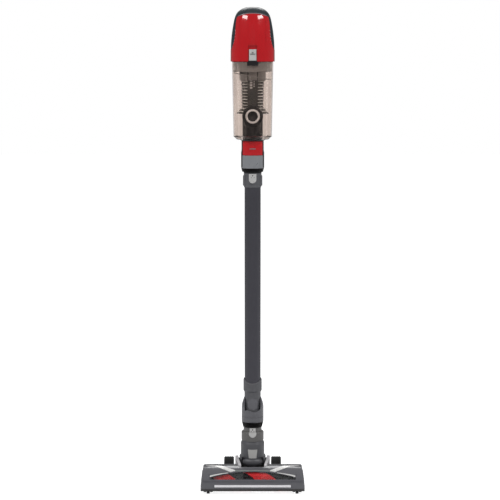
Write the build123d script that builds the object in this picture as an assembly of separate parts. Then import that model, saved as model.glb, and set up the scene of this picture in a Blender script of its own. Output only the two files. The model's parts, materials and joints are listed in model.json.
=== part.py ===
"""Cordless stick vacuum: floor head, hinged neck, wand, dust bin and motor unit, in millimetres.

+X is to the right, +Y to the back where the user stands, +Z up. The origin is on the floor,
on the wand's axis, which is the middle of the whole cleaner's outline.
"""

import os
from math import radians, sqrt, tan

from build123d import *

# ---- driving dimensions -------------------------------------------------------------------

TOP_Z = 1098.7            # crown of the motor unit
REACH_Y = 112.0           # head front and battery back are this far from the wand's axis
GAP = 0.3                 # running clearance between parts that move past each other
FIT = 0.1                 # clearance between parts that stay together
WALL = 2.4                # moulded wall

# floor head
HEAD_HALF = 118.2         # half width
HEAD_REAR_Y = -9.0
HEAD_CORNER_R, CORNER_MARGIN = 8.0, 0.3
SOLE_Z = 7.0              # ground clearance of the sole
SPLIT_Z = 14.0            # where the dome meets the tray
CREST_Y, CREST_Z = -62.0, 56.5
ROLL_Y, ROLL_Z = -70.0, 25.5
ROLL_R, CORE_R = 22.5, 13.0
ROLL_LEFT, ROLL_RIGHT = -100.0, 91.0
WINDOW_HALF, WINDOW_FRONT = 98.0, -108.3
WINDOW_BACK, WINDOW_END = -85.5, -103.0   # rear edge at the middle and at the ends
BAY_FLOOR_Z, BAY_SLOPE = 36.9, 0.2469     # floor of the hinge bay above the wand's axis
BAND_INNER_X, BAND_INNER_Y = 38.6, -83.5  # inner upper corner of a V band
BAND_SLOPE = 0.511
DECK_GROOVES, DECK_GROOVE_FIRST, DECK_GROOVE_PITCH = 26, 3.0, 3.0
CHASSIS_HALF, CHEEK_OUT = 40.0, 40.4
LED_HALF, LED_LOW, LED_HIGH = 86.8, 16.8, 22.8
DRIVE_Y, DRIVE_Z = -30.0, 25.0
ROLL_PULLEY_R, DRIVE_PULLEY_R = 10.0, 6.0
PULLEY_X, PULLEY_W, BELT_T = 93.0, 6.0, 1.5
WHEEL_Y, WHEEL_R, WHEEL_IN, WHEEL_OUT = 50.0, 25.0, 43.8, 67.0
AXLE_R = 3.0
CASTER_X, CASTER_Y, CASTER_R = 101.0, -100.0, 5.5

# neck
TILT_Y, TILT_Z = 16.0, 50.0
BARREL_R, BARREL_HALF = 15.0, 30.5
PIN_R = 6.0
NECK_R = 27.3
RING_R, RING_LOW, RING_HIGH = 25.8, 102.6, 123.3
NECK_SOCKET_R, NECK_SOCKET_TOP = 20.9, 133.6
NECK_TOP = 102.2

# wand
TUBE_R, TUBE_BORE = 18.5, 17.3
PLUG_R = TUBE_BORE - GAP
TUBE_LOW, TUBE_HIGH = 219.5, 722.0
ADAPTOR_R = 18.9
COLLAR_R, COLLAR_LOW, COLLAR_TOP = 21.3, 216.0, 248.0
WAND_SLEEVE_R, WAND_SLEEVE_LOW, WAND_SLEEVE_TOP = 25.5, 146.5, 203.0
WAND_BRUSH_IN = 21.3      # clears the neck socket it slides over
SOCKET_LOW, SOCKET_TOP = 691.0, 723.6
BOSS_R = 22.2
BRUSH_IN = 22.6           # a brush ring clears the socket's bosses

# dust bin and nozzle
NOZZLE_R = 22.9
RAIL_R = 26.4
HAND_BRUSH_LOW, HAND_BRUSH_TOP = 726.3, 735.0
SLIDER_TOP = 764.5
PANEL_TOP = 796.5
INLAY_HALF_ANGLE = 63.0
CUP_LOW, CUP_TOP = 800.5, 975.0
CUP_LOW_R, CUP_TOP_R = 43.4, 46.8
BOSS_Z, BOSS_OUT = 853.5, 23.4
SKIRT_LOW, SKIRT_TOP, SKIRT_R = 858.8, 873.6, 36.8
COLUMN_LOW_R, COLUMN_TOP_R = 25.6, 27.6
COLUMN_TOP = 953.0
RIB_PITCH = 6.8

# motor unit
BODY_LOW = 976.4
BODY_R = 49.5
CHANNEL_HALF, CHANNEL_TOP = 9.9, 1012.2    # the bin latch's channel in the red cover
BIN_LATCH_HALF, BIN_LATCH_LOW, BIN_LATCH_TOP, BIN_LATCH_BACK = 8.1, 972.8, 1003.5, -48.9
BULKHEAD_LOW, BULKHEAD_TOP = 977.0, 980.0
GRIP_HALF = 15.0
BATTERY_LOW, BATTERY_TOP, BATTERY_FRONT, BATTERY_HALF = 893.0, 972.0, 51.0, 25.0
CELL_R, CELL_LOW, CELL_LENGTH = 9.1, 899.0, 65.0
JACK_R, JACK_DEPTH, JACK_Z = 2.75, 9.0, 915.0
MOTOR_R, MOTOR_LOW, MOTOR_TOP = 27.0, 1006.0, 1056.0
FAN_R, FAN_LOW, FAN_TOP = 31.0, 986.5, 1001.0

# buttons
LATCH_HALF = 8.5
LATCH_TRAVEL = 1.2


# ---- shape helpers ------------------------------------------------------------------------

def turned(*corners):
    """Solid turned about the wand's axis from (radius, height) corners."""
    outline = Polyline(*[(r, 0, z) for r, z in corners], close=True)
    return revolve(make_face(outline), Axis.Z)


def ring(outer, inner, low, high):
    """Plain ring about the wand's axis."""
    return turned((inner, low), (outer, low), (outer, high), (inner, high))


def block(x, y, z):
    """Box between pairs of limits."""
    size = (x[1] - x[0], y[1] - y[0], z[1] - z[0])
    middle = ((x[0] + x[1]) / 2, (y[0] + y[1]) / 2, (z[0] + z[1]) / 2)
    return Pos(*middle) * Box(*size)


def rod_x(radius, y, z, x0, x1):
    """Round bar along X."""
    return Pos((x0 + x1) / 2, y, z) * Rot(0, 90, 0) * Cylinder(radius, x1 - x0)


def rod_y(radius, x, z, y0, y1):
    """Round bar along Y."""
    return Pos(x, (y0 + y1) / 2, z) * Rot(90, 0, 0) * Cylinder(radius, y1 - y0)


def rod_z(radius, x, y, z0, z1):
    """Round bar along Z."""
    return Pos(x, y, (z0 + z1) / 2) * Cylinder(radius, z1 - z0)


def side_slab(outline, x0, x1):
    """Slab between two X planes from a closed outline of edges in the YZ plane."""
    return Pos(x0, 0, 0) * extrude(make_face(outline), x1 - x0, dir=(1, 0, 0))


def front_prism(outline, y0, y1):
    """Prism between two Y planes from a closed outline of edges in the XZ plane."""
    return Pos(0, y0, 0) * extrude(make_face(outline), y1 - y0, dir=(0, 1, 0))


def plan_prism(outline, z0, z1):
    """Prism between two heights from a closed outline of edges in the XY plane."""
    return Pos(0, 0, z0) * extrude(make_face(outline), z1 - z0, dir=(0, 0, 1))


def mirrored(shape):
    """The same shape on the other side of the middle plane."""
    return mirror(shape, Plane.YZ)


def both_sides(shape):
    """The shape and its mirror image as one node."""
    return Compound([*shape.solids(), *mirrored(shape).solids()])


def shield(grow=0.0, top=0.0, height=21.1):
    """Closed outline of a latch plate: square at the top, round at the foot, hung from `top`."""
    half = LATCH_HALF + grow
    foot = top - height + LATCH_HALF
    return [
        Line((-half, 0, foot), (-half, 0, top + grow)),
        Line((-half, 0, top + grow), (half, 0, top + grow)),
        Line((half, 0, top + grow), (half, 0, foot)),
        ThreePointArc((half, 0, foot), (0, 0, foot - half), (-half, 0, foot)),
    ]


# ---- floor head ---------------------------------------------------------------------------

def head_outline(inset=0.0, low=SPLIT_Z):
    """Side outline of the dome, from its front wall over the roller to the rear deck."""
    front = -REACH_Y + inset
    rear = HEAD_REAR_Y - inset
    over = Spline(
        (0, front, 27.0),
        (0, front + 5.0, 35.6 - inset * 0.6),
        (0, -89.0, 46.2 - inset),
        (0, CREST_Y, CREST_Z - inset),
        (0, -36.0, 50.6 - inset),
        (0, rear - 5.0, 40.0 - inset * 0.7),
        (0, rear, 30.0),
        tangents=[(0, 0, 1), (0, 0, -1)],
    )
    return [
        Line((0, front, low), (0, front, 27.0)),
        over,
        Line((0, rear, 30.0), (0, rear, low)),
        Line((0, rear, low), (0, front, low)),
    ]


def head_front_outline(inset=0.0):
    """Front outline of the dome: sides that lean in, soft shoulders and a gentle arch."""
    half, top = HEAD_HALF - inset, CREST_Z - inset + 0.2
    lean, shoulder = (half - 3.9, 48.5 - inset), (half - 9.5, top - 2.4)
    return [
        Line((-half, 0, 0), (half, 0, 0)),
        Line((half, 0, 0), (half, 0, 20.0)),
        Line((half, 0, 20.0), (lean[0], 0, lean[1])),
        ThreePointArc(
            (lean[0], 0, lean[1]), (half - 5.9, 0, 52.6 - inset), (shoulder[0], 0, shoulder[1])
        ),
        ThreePointArc((shoulder[0], 0, shoulder[1]), (0, 0, top), (-shoulder[0], 0, shoulder[1])),
        ThreePointArc(
            (-shoulder[0], 0, shoulder[1]), (5.9 - half, 0, 52.6 - inset), (-lean[0], 0, lean[1])
        ),
        Line((-lean[0], 0, lean[1]), (-half, 0, 20.0)),
        Line((-half, 0, 20.0), (-half, 0, 0)),
    ]


def head_plan(inset=0.0):
    """Upright block that rounds the head's corners; elsewhere it stands just clear of the walls."""
    out = CORNER_MARGIN - inset
    size = (2 * (HEAD_HALF + out), REACH_Y + HEAD_REAR_Y + 2 * out)
    plan = Pos(0, (HEAD_REAR_Y - REACH_Y) / 2) * RectangleRounded(*size, HEAD_CORNER_R + out)
    return extrude(plan, 70.0)


def dome(inset=0.0, low=SPLIT_Z):
    """The head's outer form, or the same form pulled in by `inset`."""
    form = side_slab(head_outline(inset, low), -HEAD_HALF - 5, HEAD_HALF + 5)
    form &= front_prism(head_front_outline(inset), -REACH_Y - 5, 0)
    return form & head_plan(inset)


def window_back(x):
    """Y of the window's arched rear edge at a distance x from the middle."""
    rise = WINDOW_BACK - WINDOW_END
    radius = (WINDOW_HALF**2 + rise**2) / (2 * rise)
    return WINDOW_BACK - radius + sqrt(radius**2 - x**2)


def window_outline(grow=0.0):
    """Plan of the roller window: straight in front, arched behind."""
    half, front, back = WINDOW_HALF + grow, WINDOW_FRONT - grow, WINDOW_BACK + grow
    return [
        Line((-half, WINDOW_END, 0), (-half, front, 0)),
        Line((-half, front, 0), (half, front, 0)),
        Line((half, front, 0), (half, WINDOW_END, 0)),
        ThreePointArc((half, WINDOW_END, 0), (0, back, 0), (-half, WINDOW_END, 0)),
    ]


def above_bay_floor(lift, height=60.0):
    """Wide slab whose underside is the hinge bay's floor, raised by `lift`."""
    low = BAY_FLOOR_Z + lift
    return side_slab(
        Polyline(
            (0, -100.0, low + BAY_SLOPE * 100.0),
            (0, 10.0, low - BAY_SLOPE * 10.0),
            (0, 10.0, low - BAY_SLOPE * 10.0 + height),
            (0, -100.0, low + BAY_SLOPE * 100.0 + height),
            close=True,
        ),
        -60.0,
        60.0,
    )


def bay_plan(grow=0.0):
    """Upright block with the plan of the bay in front of the hinge."""
    corners = [(45.0, 5.0), (43.0, -20.0), (37.0, -50.0), (27.0, -80.0)]
    right = [(x + grow, y, 0) for x, y in corners]
    left = [(-x, y, 0) for x, y, _ in reversed(right)]
    return plan_prism(Polyline(*right, *left, close=True), 20.0, 70.0)


def deck_grooves():
    """Cutters for the fine ribs of the deck, between the V bands."""
    cuts = []
    for step in range(DECK_GROOVES):
        x = DECK_GROOVE_FIRST + DECK_GROOVE_PITCH * step
        start = BAND_INNER_Y + 2.5 + max(0.0, BAND_SLOPE * (x - BAND_INNER_X))
        cut = block((x - 0.7, x + 0.7), (start, -38.0), (30.0, 62.0))
        cuts += [cut, mirrored(cut)]
    return Compound(cuts) - dome(0.8)


def head_cover():
    shell = dome()
    shell -= dome(WALL, SPLIT_Z - 1)
    shell -= deck_grooves()
    shell += dome(0.3) & bay_plan(2.0) & above_bay_floor(-2.0, 2.0)
    shell -= bay_plan() & above_bay_floor(0.0)
    bead = (dome(-0.5) - dome(0.5)) & block((-130, 130), (-120, -12), (30.8, 33.0))
    shell += bead
    shell -= plan_prism(window_outline(), 28, 60)
    shell -= block((-LED_HALF - FIT, LED_HALF + FIT), (-120, -105), (LED_LOW - FIT, LED_HIGH + FIT))
    for x in (-1, 1):
        shell -= rod_z(1.5, x * 99.0, -96.5, 30, 60)
    neck_bay = block((-46, 46), (-13, 0), (10, 60))
    shell -= neck_bay
    shell += (dome(0.5) - above_bay_floor(0.0)) & block((-46, 46), (-15.4, -13.0), (26.6, 60.0))
    shell -= block((-19.1, 19.1), (-50.0, 0.0), (10, 34.1))
    return shell


def head_window():
    pane = dome(0.5) - dome(2.0, SPLIT_Z - 1)
    return pane & plan_prism(window_outline(-FIT), 28, 60)


def band_outline():
    """Plan of one V band, from just behind the crest to the middle of the front."""
    return Polyline(
        (-106.8, -57.0, 0),
        (-90.4, -57.0, 0),
        (-BAND_INNER_X, BAND_INNER_Y, 0),
        (-50.4, -88.0, 0),
        close=True,
    )


def crescent_outline():
    """Plan of the pale crescent over one end of the window."""
    tip, end = 56.0, 97.0
    lower = [(x, window_back(x) + 0.25, 0) for x in (tip, 66.0, 76.0, 86.0, end)]
    upper = [(x, y + 0.4 + 2.6 * (x - tip) / (end - tip), 0) for x, y, _ in lower]
    return Polyline(*lower, *reversed(upper), close=True)


def trim_bands():
    """The V bands, the lip between them and the window's crescents, thin on the dome."""
    skin = dome(-0.8) - dome(0.0, SPLIT_Z - 1)
    band = skin & plan_prism(band_outline(), 30, 60)
    crescent = skin & plan_prism(crescent_outline(), 30, 60)
    lip = skin & block((-46.0, 46.0), (WINDOW_BACK + 0.1, WINDOW_BACK + 2.3), (30, 60))
    rim = both_sides(band)
    lip -= rim
    return Compound([*rim.solids(), *both_sides(crescent).solids(), *lip.solids()])


def head_base():
    """Sole, low walls, roller bearings, hinge seat and wheel carrier in one moulding."""
    rear = HEAD_REAR_Y
    rim = side_slab(
        [
            Line((0, -REACH_Y, SPLIT_Z - FIT), (0, -REACH_Y, SOLE_Z + 5)),
            Line((0, -REACH_Y, SOLE_Z + 5), (0, -REACH_Y + 5, SOLE_Z)),
            Line((0, -REACH_Y + 5, SOLE_Z), (0, rear, SOLE_Z)),
            Line((0, rear, SOLE_Z), (0, rear, SPLIT_Z - FIT)),
            Line((0, rear, SPLIT_Z - FIT), (0, -REACH_Y, SPLIT_Z - FIT)),
        ],
        -HEAD_HALF,
        HEAD_HALF,
    )
    rim &= head_plan()
    rim -= block((-115.8, 115.8), (-109.0, rear - WALL), (SOLE_Z + 2.6, 30))
    rim -= block((ROLL_LEFT - 1.5, 100.5), (ROLL_Y - 25, ROLL_Y + 25), (0, 30))
    chassis = block((-CHASSIS_HALF, CHASSIS_HALF), (-16.0, 64.0), (SOLE_Z + 2, 26.5))
    chassis = fillet(chassis.edges().filter_by(Axis.Z).group_by(Axis.Y)[-1], 9.0)
    chassis = chamfer(chassis.faces().sort_by(Axis.Z)[-1].edges().group_by(Axis.Y)[-1], 2.0)
    base = rim + chassis
    duct = block((-19, 19), (-45.0, -1.0), (SOLE_Z, 34.0))
    base += duct
    base -= block((-16, 16), (-50.0, -3.0), (SOLE_Z + 2.6, 31.5))
    for x0, x1 in ((-107.0, -102.6), (102.6, 107.0)):
        bearing = block((x0, x1), (ROLL_Y - 7, ROLL_Y + 7), (SOLE_Z, 33.0))
        base += bearing - rod_x(4.0 + FIT, ROLL_Y, ROLL_Z, x0 - 1, x1 + 1)
    cradle = block((-29.0, 29.0), (TILT_Y - 16, TILT_Y + 16), (24.0, 42.0))
    cradle -= rod_x(BARREL_R + GAP, TILT_Y, TILT_Z, -40, 40)
    base += cradle - block((-40, 40), (TILT_Y - 5, TILT_Y + 30), (36, 60))
    base -= block((-13, 13), (-6.0, TILT_Y - 8), (25.0, 60))
    for x in (-1, 1):
        base -= rod_x(AXLE_R, WHEEL_Y, WHEEL_R, x * CHASSIS_HALF - 14, x * CHASSIS_HALF + 14)
    base += roller_shoes()
    for x in (-CASTER_X, CASTER_X):
        base -= block((x - 4.2, x + 4.2), (CASTER_Y - 8.0, CASTER_Y + 6.2), (0, 12.4))
    return base


def hinge_cheeks():
    """The two pale arches that carry the tilt hinge's pins, each with an arm into the bay."""
    arch = side_slab(
        [
            ThreePointArc((0, TILT_Y - 11, TILT_Z), (0, TILT_Y, TILT_Z + 11), (0, TILT_Y + 11, TILT_Z)),
            Line((0, TILT_Y + 11, TILT_Z), (0, TILT_Y + 16, 26.6)),
            Line((0, TILT_Y + 16, 26.6), (0, -8.8, 26.6)),
            Line((0, -8.8, 26.6), (0, TILT_Y - 11, TILT_Z)),
        ],
        33.0,
        CHEEK_OUT,
    )
    plan = Polyline((33.0, 8.0, 0), (CHEEK_OUT, 8.0, 0), (32.0, -46.0, 0), (26.5, -46.0, 0), close=True)
    side = side_slab(
        Polyline(
            (0, 12.0, 58.0),
            (0, -20.0, 55.6),
            (0, -40.0, 54.0),
            (0, -48.0, 50.5),
            (0, -48.0, 40.0),
            (0, 12.0, 40.0),
            close=True,
        ),
        20.0,
        50.0,
    )
    arm = plan_prism(plan, 30.0, 60.0) & side & above_bay_floor(0.15)
    return both_sides(arch + arm - rod_x(PIN_R + FIT, TILT_Y, TILT_Z, 30, 38.6))


def led_lens():
    lens = block((-LED_HALF, LED_HALF), (-REACH_Y, -REACH_Y + 4.5), (LED_LOW, LED_HIGH))
    return fillet(lens.faces().sort_by(Axis.Y)[0].edges(), 1.2)


def led_board():
    """Light strip: a narrow board with ten small lamps facing the lens."""
    middle = (LED_LOW + LED_HIGH) / 2
    board = block((-84, 84), (-REACH_Y + 5.6, -REACH_Y + 6.8), (LED_LOW, LED_HIGH))
    for step in range(10):
        x = -75.6 + 16.8 * step
        lamp = (middle - 1.5, middle + 1.5)
        board += block((x - 1.5, x + 1.5), (-REACH_Y + 4.7, -REACH_Y + 5.6), lamp)
    return board


def pulley_loop(grow):
    """Outline round both pulleys, `grow` outside their rims."""
    a = Pos(ROLL_Y, ROLL_Z) * Circle(ROLL_PULLEY_R + grow)
    b = Pos(DRIVE_Y, DRIVE_Z) * Circle(DRIVE_PULLEY_R + grow)
    flat = make_hull([*a.edges(), *b.edges()])
    upright = Plane(origin=(0, 0, 0), x_dir=(0, 1, 0), z_dir=(1, 0, 0))
    return upright * flat


def drive_belt():
    width = (PULLEY_X + 0.8, PULLEY_X + PULLEY_W - 0.8)
    outer = extrude(pulley_loop(FIT + BELT_T), width[1] - width[0])
    inner = extrude(pulley_loop(FIT), width[1] - width[0])
    return Pos(width[0], 0, 0) * (outer - inner)


def grooved_pulley(radius, y, z):
    """Pulley with a lip at each side of the belt."""
    return (
        rod_x(radius, y, z, PULLEY_X, PULLEY_X + PULLEY_W)
        + rod_x(radius + 0.9, y, z, PULLEY_X - 0.2, PULLEY_X + 0.5)
        + rod_x(radius + 0.9, y, z, PULLEY_X + PULLEY_W - 0.5, PULLEY_X + PULLEY_W + 0.2)
    )


def brush_core():
    core = rod_x(CORE_R, ROLL_Y, ROLL_Z, ROLL_LEFT, ROLL_RIGHT)
    core += rod_x(4.0, ROLL_Y, ROLL_Z, ROLL_LEFT - 6.5, 106.5)
    core += rod_x(ROLL_R - 1.0, ROLL_Y, ROLL_Z, ROLL_LEFT, ROLL_LEFT + 2.0)
    core += rod_x(ROLL_R - 1.0, ROLL_Y, ROLL_Z, ROLL_RIGHT - 2.0, ROLL_RIGHT)
    return core + grooved_pulley(ROLL_PULLEY_R, ROLL_Y, ROLL_Z)


def brush_pile():
    pile = rod_x(ROLL_R, ROLL_Y, ROLL_Z, ROLL_LEFT + 2.1, ROLL_RIGHT - 2.1)
    return pile - rod_x(CORE_R + FIT, ROLL_Y, ROLL_Z, ROLL_LEFT, ROLL_RIGHT)


def brush_motor():
    can = rod_x(12.5, DRIVE_Y, DRIVE_Z, 38.0, 86.0) + rod_x(6.0, DRIVE_Y, DRIVE_Z, 86.0, 89.0)
    can += rod_x(5.0, DRIVE_Y, DRIVE_Z, 35.0, 38.0)
    return can - rod_x(1.7, DRIVE_Y, DRIVE_Z, 60.0, 90.0)


def motor_pulley():
    shaft = rod_x(1.6, DRIVE_Y, DRIVE_Z, 62.0, PULLEY_X + PULLEY_W + 2)
    return shaft + grooved_pulley(DRIVE_PULLEY_R, DRIVE_Y, DRIVE_Z)


def wheel_axles():
    """Two steel stub axles for the wheels and two pins for the front rollers."""
    stub = rod_x(AXLE_R - 0.05, WHEEL_Y, WHEEL_R, CHASSIS_HALF + 0.1, WHEEL_OUT + 0.8)
    stub += rod_x(AXLE_R + 2.2, WHEEL_Y, WHEEL_R, CHASSIS_HALF + 0.1, WHEEL_IN - 0.5)
    stub += rod_x(AXLE_R + 1.4, WHEEL_Y, WHEEL_R, WHEEL_OUT + 0.4, WHEEL_OUT + 1.6)
    pin = rod_x(1.2, CASTER_Y, CASTER_R, CASTER_X - 4.1, CASTER_X + 4.1)
    return both_sides(Compound([stub, pin]))


def wheel_hub():
    hub = rod_x(WHEEL_R - 4.1, WHEEL_Y, WHEEL_R, WHEEL_IN + 1, WHEEL_OUT - 1)
    hub -= rod_x(WHEEL_R - 7.5, WHEEL_Y, WHEEL_R, WHEEL_OUT - 5, WHEEL_OUT)
    hub += rod_x(6.0, WHEEL_Y, WHEEL_R, WHEEL_IN + 1, WHEEL_OUT)
    for spoke in range(5):
        arm = block((WHEEL_OUT - 6, WHEEL_OUT - 2), (0, WHEEL_R - 6), (-1.2, 1.2))
        hub += Pos(0, WHEEL_Y, WHEEL_R) * Rot(spoke * 72 + 20, 0, 0) * arm
    return hub - rod_x(AXLE_R + 0.08, WHEEL_Y, WHEEL_R, WHEEL_IN - 1, WHEEL_OUT + 1)


def wheel_tyre():
    tyre = rod_x(WHEEL_R, WHEEL_Y, WHEEL_R, WHEEL_IN, WHEEL_OUT)
    tyre = fillet(tyre.edges(), 3.2)
    tyre -= rod_x(WHEEL_R - 4.0, WHEEL_Y, WHEEL_R, WHEEL_IN - 1, WHEEL_OUT + 1)
    for groove in (-5.0, 0.0, 5.0):
        x = (WHEEL_IN + WHEEL_OUT) / 2 + groove
        cut = rod_x(WHEEL_R + 1, WHEEL_Y, WHEEL_R, x - 0.6, x + 0.6)
        tyre -= cut - rod_x(WHEEL_R - 0.8, WHEEL_Y, WHEEL_R, x - 1, x + 1)
    return tyre


def caster(x):
    """Small front roller in its slot under the sole."""
    roller = rod_x(CASTER_R, CASTER_Y, CASTER_R, x - 3.4, x + 3.4)
    roller = fillet(roller.edges(), 1.0)
    return roller - rod_x(1.2 + 0.08, CASTER_Y, CASTER_R, x - 5, x + 5)


def roller_shoes():
    """Black shoes beside each front roller, under the sole."""
    shoe = block((90.5, 111.5), (CASTER_Y - 6.0, CASTER_Y + 5.0), (4.6, SOLE_Z + 1))
    shoe = chamfer(shoe.faces().sort_by(Axis.Z)[0].edges(), 1.4)
    return shoe + mirrored(shoe)


def sole_strip():
    """Rubber lip behind the roller's opening; it rests on the floor."""
    return block((-98, 98), (-44.0, -40.5), (0, SOLE_Z - 0.05))


def head_screws():
    """Eight pan-head screws that close the head from below."""
    screws = []
    for x in (-88.0, -52.0, 52.0, 88.0):
        for y in (-32.0, -16.0):
            screws.append(rod_z(2.6, x, y, SOLE_Z - 1.6, SOLE_Z - 0.05))
    return Compound(screws)


# ---- neck ---------------------------------------------------------------------------------

def neck_form():
    """Outer form of the neck: a round post over a knuckle with a rounded chin and a barrel."""
    post = turned(
        (0, 60.5),
        (NECK_R - 2.5, 60.5),
        (NECK_R, 65.5),
        (NECK_R, NECK_TOP - 6.0),
        (RING_R - 1.0, NECK_TOP),
        (0, NECK_TOP),
    )
    front, back = TILT_Y - BARREL_R, TILT_Y + BARREL_R
    knuckle = side_slab(
        [
            ThreePointArc((0, front, TILT_Z), (0, TILT_Y, TILT_Z - BARREL_R), (0, back, TILT_Z)),
            Line((0, back, TILT_Z), (0, 24.0, 66.0)),
            Line((0, 24.0, 66.0), (0, -22.0, 66.0)),
            Line((0, -22.0, 66.0), (0, front, TILT_Z)),
        ],
        -25.0,
        25.0,
    )
    chin = Pos(0, -14.0, 54.0) * scale(Sphere(1), by=(23.0, 16.0, 11.5))
    barrel = rod_x(BARREL_R, TILT_Y, TILT_Z, -BARREL_HALF, BARREL_HALF)
    barrel = fillet(barrel.edges(), 4.5)
    pins = rod_x(PIN_R, TILT_Y, TILT_Z, -38.2, 38.2)
    return post + knuckle + chin + barrel + pins


def neck_button_outline(grow=0.0):
    """Tapered plate on the neck's face."""
    return Polyline(
        (-10.9 - grow, 0, 84.2 + grow),
        (10.9 + grow, 0, 84.2 + grow),
        (8.7 + grow, 0, 64.0 - grow),
        (-8.7 - grow, 0, 64.0 - grow),
        close=True,
    )


def neck_body():
    """Both halves of the neck as one hollow body, before it is split."""
    body = neck_form()
    body -= turned((0, 58.0), (13.0, 58.0), (18.0, 72.0), (18.0, 105.0), (0, 105.0))
    body -= rod_x(10.0, TILT_Y, TILT_Z, -27, 27)
    body -= block((-13, 13), (TILT_Y - 13.5, TILT_Y), (34.0, TILT_Z))
    pocket = ring(40, 22.6, 60.0, 90.0) & front_prism(neck_button_outline(GAP), -40, -10)
    return body - pocket


def neck_front():
    return neck_body() & block((-60, 60), (-60, 3.0), (0, 110))


def neck_rear():
    return neck_body() & block((-60, 60), (3.0 + FIT, 60), (0, 110))


def neck_button():
    """Push plate that frees the upright lock, curved like the neck."""
    plate = front_prism(neck_button_outline(), -NECK_R - 0.9, -24.5)
    plate &= Pos(0, 0, 74) * (Cylinder(NECK_R + 0.8, 40) - Cylinder(24.5, 50))
    return plate


def swivel_socket():
    """Turning collar and the socket that takes the wand."""
    body = turned(
        (TUBE_BORE, RING_LOW),
        (RING_R - 0.6, RING_LOW),
        (RING_R, RING_LOW + 2),
        (RING_R, RING_HIGH - 2),
        (RING_R - 1.2, RING_HIGH),
        (NECK_SOCKET_R, RING_HIGH),
        (NECK_SOCKET_R, NECK_SOCKET_TOP),
        (TUBE_BORE, NECK_SOCKET_TOP),
    )
    apron = front_prism(shield(5.0, RING_HIGH - 5.0, 20.0), -RING_R - 0.5, -19.0)
    body += apron & ring(RING_R + 0.5, TUBE_BORE + 0.5, RING_LOW, RING_HIGH - 0.5)
    bezel = front_prism(shield(1.6, NECK_SOCKET_TOP - 1.6), -RING_R - 0.6, -19.0)
    body += bezel & ring(NECK_SOCKET_R + 0.3, TUBE_BORE + 0.5, RING_HIGH - 1, NECK_SOCKET_TOP)
    body -= front_prism(shield(GAP, NECK_SOCKET_TOP), -40, -TUBE_BORE - 1.0)
    tail = ring(17.6, 15.0, 93.0, RING_LOW + 1) + ring(TUBE_BORE + 0.4, 15.0, RING_LOW, RING_LOW + 2.4)
    return body + tail


def latch(top, radius, eye_radius):
    """Silver release plate, curved in front, with a round eye and three thumb lines."""
    plate = front_prism(shield(0, top), -radius - 1, -12)
    plate &= Pos(0, 0, top - 12) * Cylinder(radius, 60)
    plate -= rod_y(1.5, 0, top - 4.0, -radius - 1, -eye_radius + 0.9)
    for step in range(3):
        z = top - 10.5 - 1.9 * step
        plate -= block((-4.5, 4.5), (-radius - 1, -radius + 0.35), (z - 0.45, z + 0.45))
    return plate


def neck_latch():
    """Latch that holds the wand in the neck: stepped in front, flat behind."""
    behind = TUBE_BORE + 1.0 + LATCH_TRAVEL + GAP
    plate = latch(NECK_SOCKET_TOP, RING_R + 0.4, NECK_SOCKET_R)
    plate -= ring(RING_R + 5, NECK_SOCKET_R + 0.1, RING_HIGH + 0.4, NECK_SOCKET_TOP + 1)
    return plate - block((-20, 20), (-behind, 0), (90, 150))


def top_latch():
    """Latch that holds the nozzle in the wand, curved behind like the tube."""
    plate = latch(SOCKET_TOP - 1.2, 21.6, 21.6)
    return plate - rod_z(TUBE_R + LATCH_TRAVEL + GAP, 0, 0, 690, 740)


# ---- wand ---------------------------------------------------------------------------------

def wand_tube():
    return ring(TUBE_R, TUBE_BORE, TUBE_LOW, TUBE_HIGH)


def scoop(radius, deep, high, y_front):
    """Cutter that dips a round part's top rim towards the front."""
    slope = (high - deep) / (radius + y_front)
    far = radius + 20
    return side_slab(
        Polyline(
            (0, -far, deep - (far - radius) * slope),
            (0, y_front, high),
            (0, y_front, high + 80),
            (0, -far, high + 80),
            close=True,
        ),
        -60,
        60,
    )


def wand_adaptor():
    """Lower end of the wand: rim, waist, brush guide and the plug that enters the neck."""
    body = turned(
        (14.5, RING_LOW + 2.8),
        (PLUG_R, RING_LOW + 2.8),
        (PLUG_R, NECK_SOCKET_TOP + GAP),
        (ADAPTOR_R, NECK_SOCKET_TOP + GAP),
        (ADAPTOR_R, COLLAR_LOW),
        (COLLAR_R, COLLAR_LOW + 4),
        (COLLAR_R, COLLAR_TOP - 3),
        (COLLAR_R - 1.2, COLLAR_TOP),
        (TUBE_R + FIT, COLLAR_TOP),
        (TUBE_R + FIT, TUBE_LOW - FIT),
        (14.5, TUBE_LOW - FIT),
    )
    rim = scoop(COLLAR_R, 236.0, COLLAR_TOP + 1, -3.0)
    body -= rim - Cylinder(TUBE_R + FIT, 700)
    pocket = ring(ADAPTOR_R + 1, ADAPTOR_R - 3.1, 170.0, 210.0)
    return body - (pocket & front_prism(oval_outline(GAP), -40, -5))


def oval_outline(grow=0.0):
    """Front view of the brush button under the wand's rim."""
    half, low, high = 12.5 + grow, 175.5 - grow, 203.5 + grow
    return [
        Line((-half, 0, low + 12), (-half, 0, high - 12)),
        ThreePointArc((-half, 0, high - 12), (0, 0, high), (half, 0, high - 12)),
        Line((half, 0, high - 12), (half, 0, low + 12)),
        ThreePointArc((half, 0, low + 12), (0, 0, low), (-half, 0, low + 12)),
    ]


def wand_brush_button():
    """Oval push pad that frees the wand's brush, curved like the wand."""
    pad = front_prism(oval_outline(), -ADAPTOR_R - 1, -ADAPTOR_R + 6)
    return pad & Pos(0, 0, 190) * (Cylinder(ADAPTOR_R, 40) - Cylinder(ADAPTOR_R - 1.1, 60))


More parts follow.
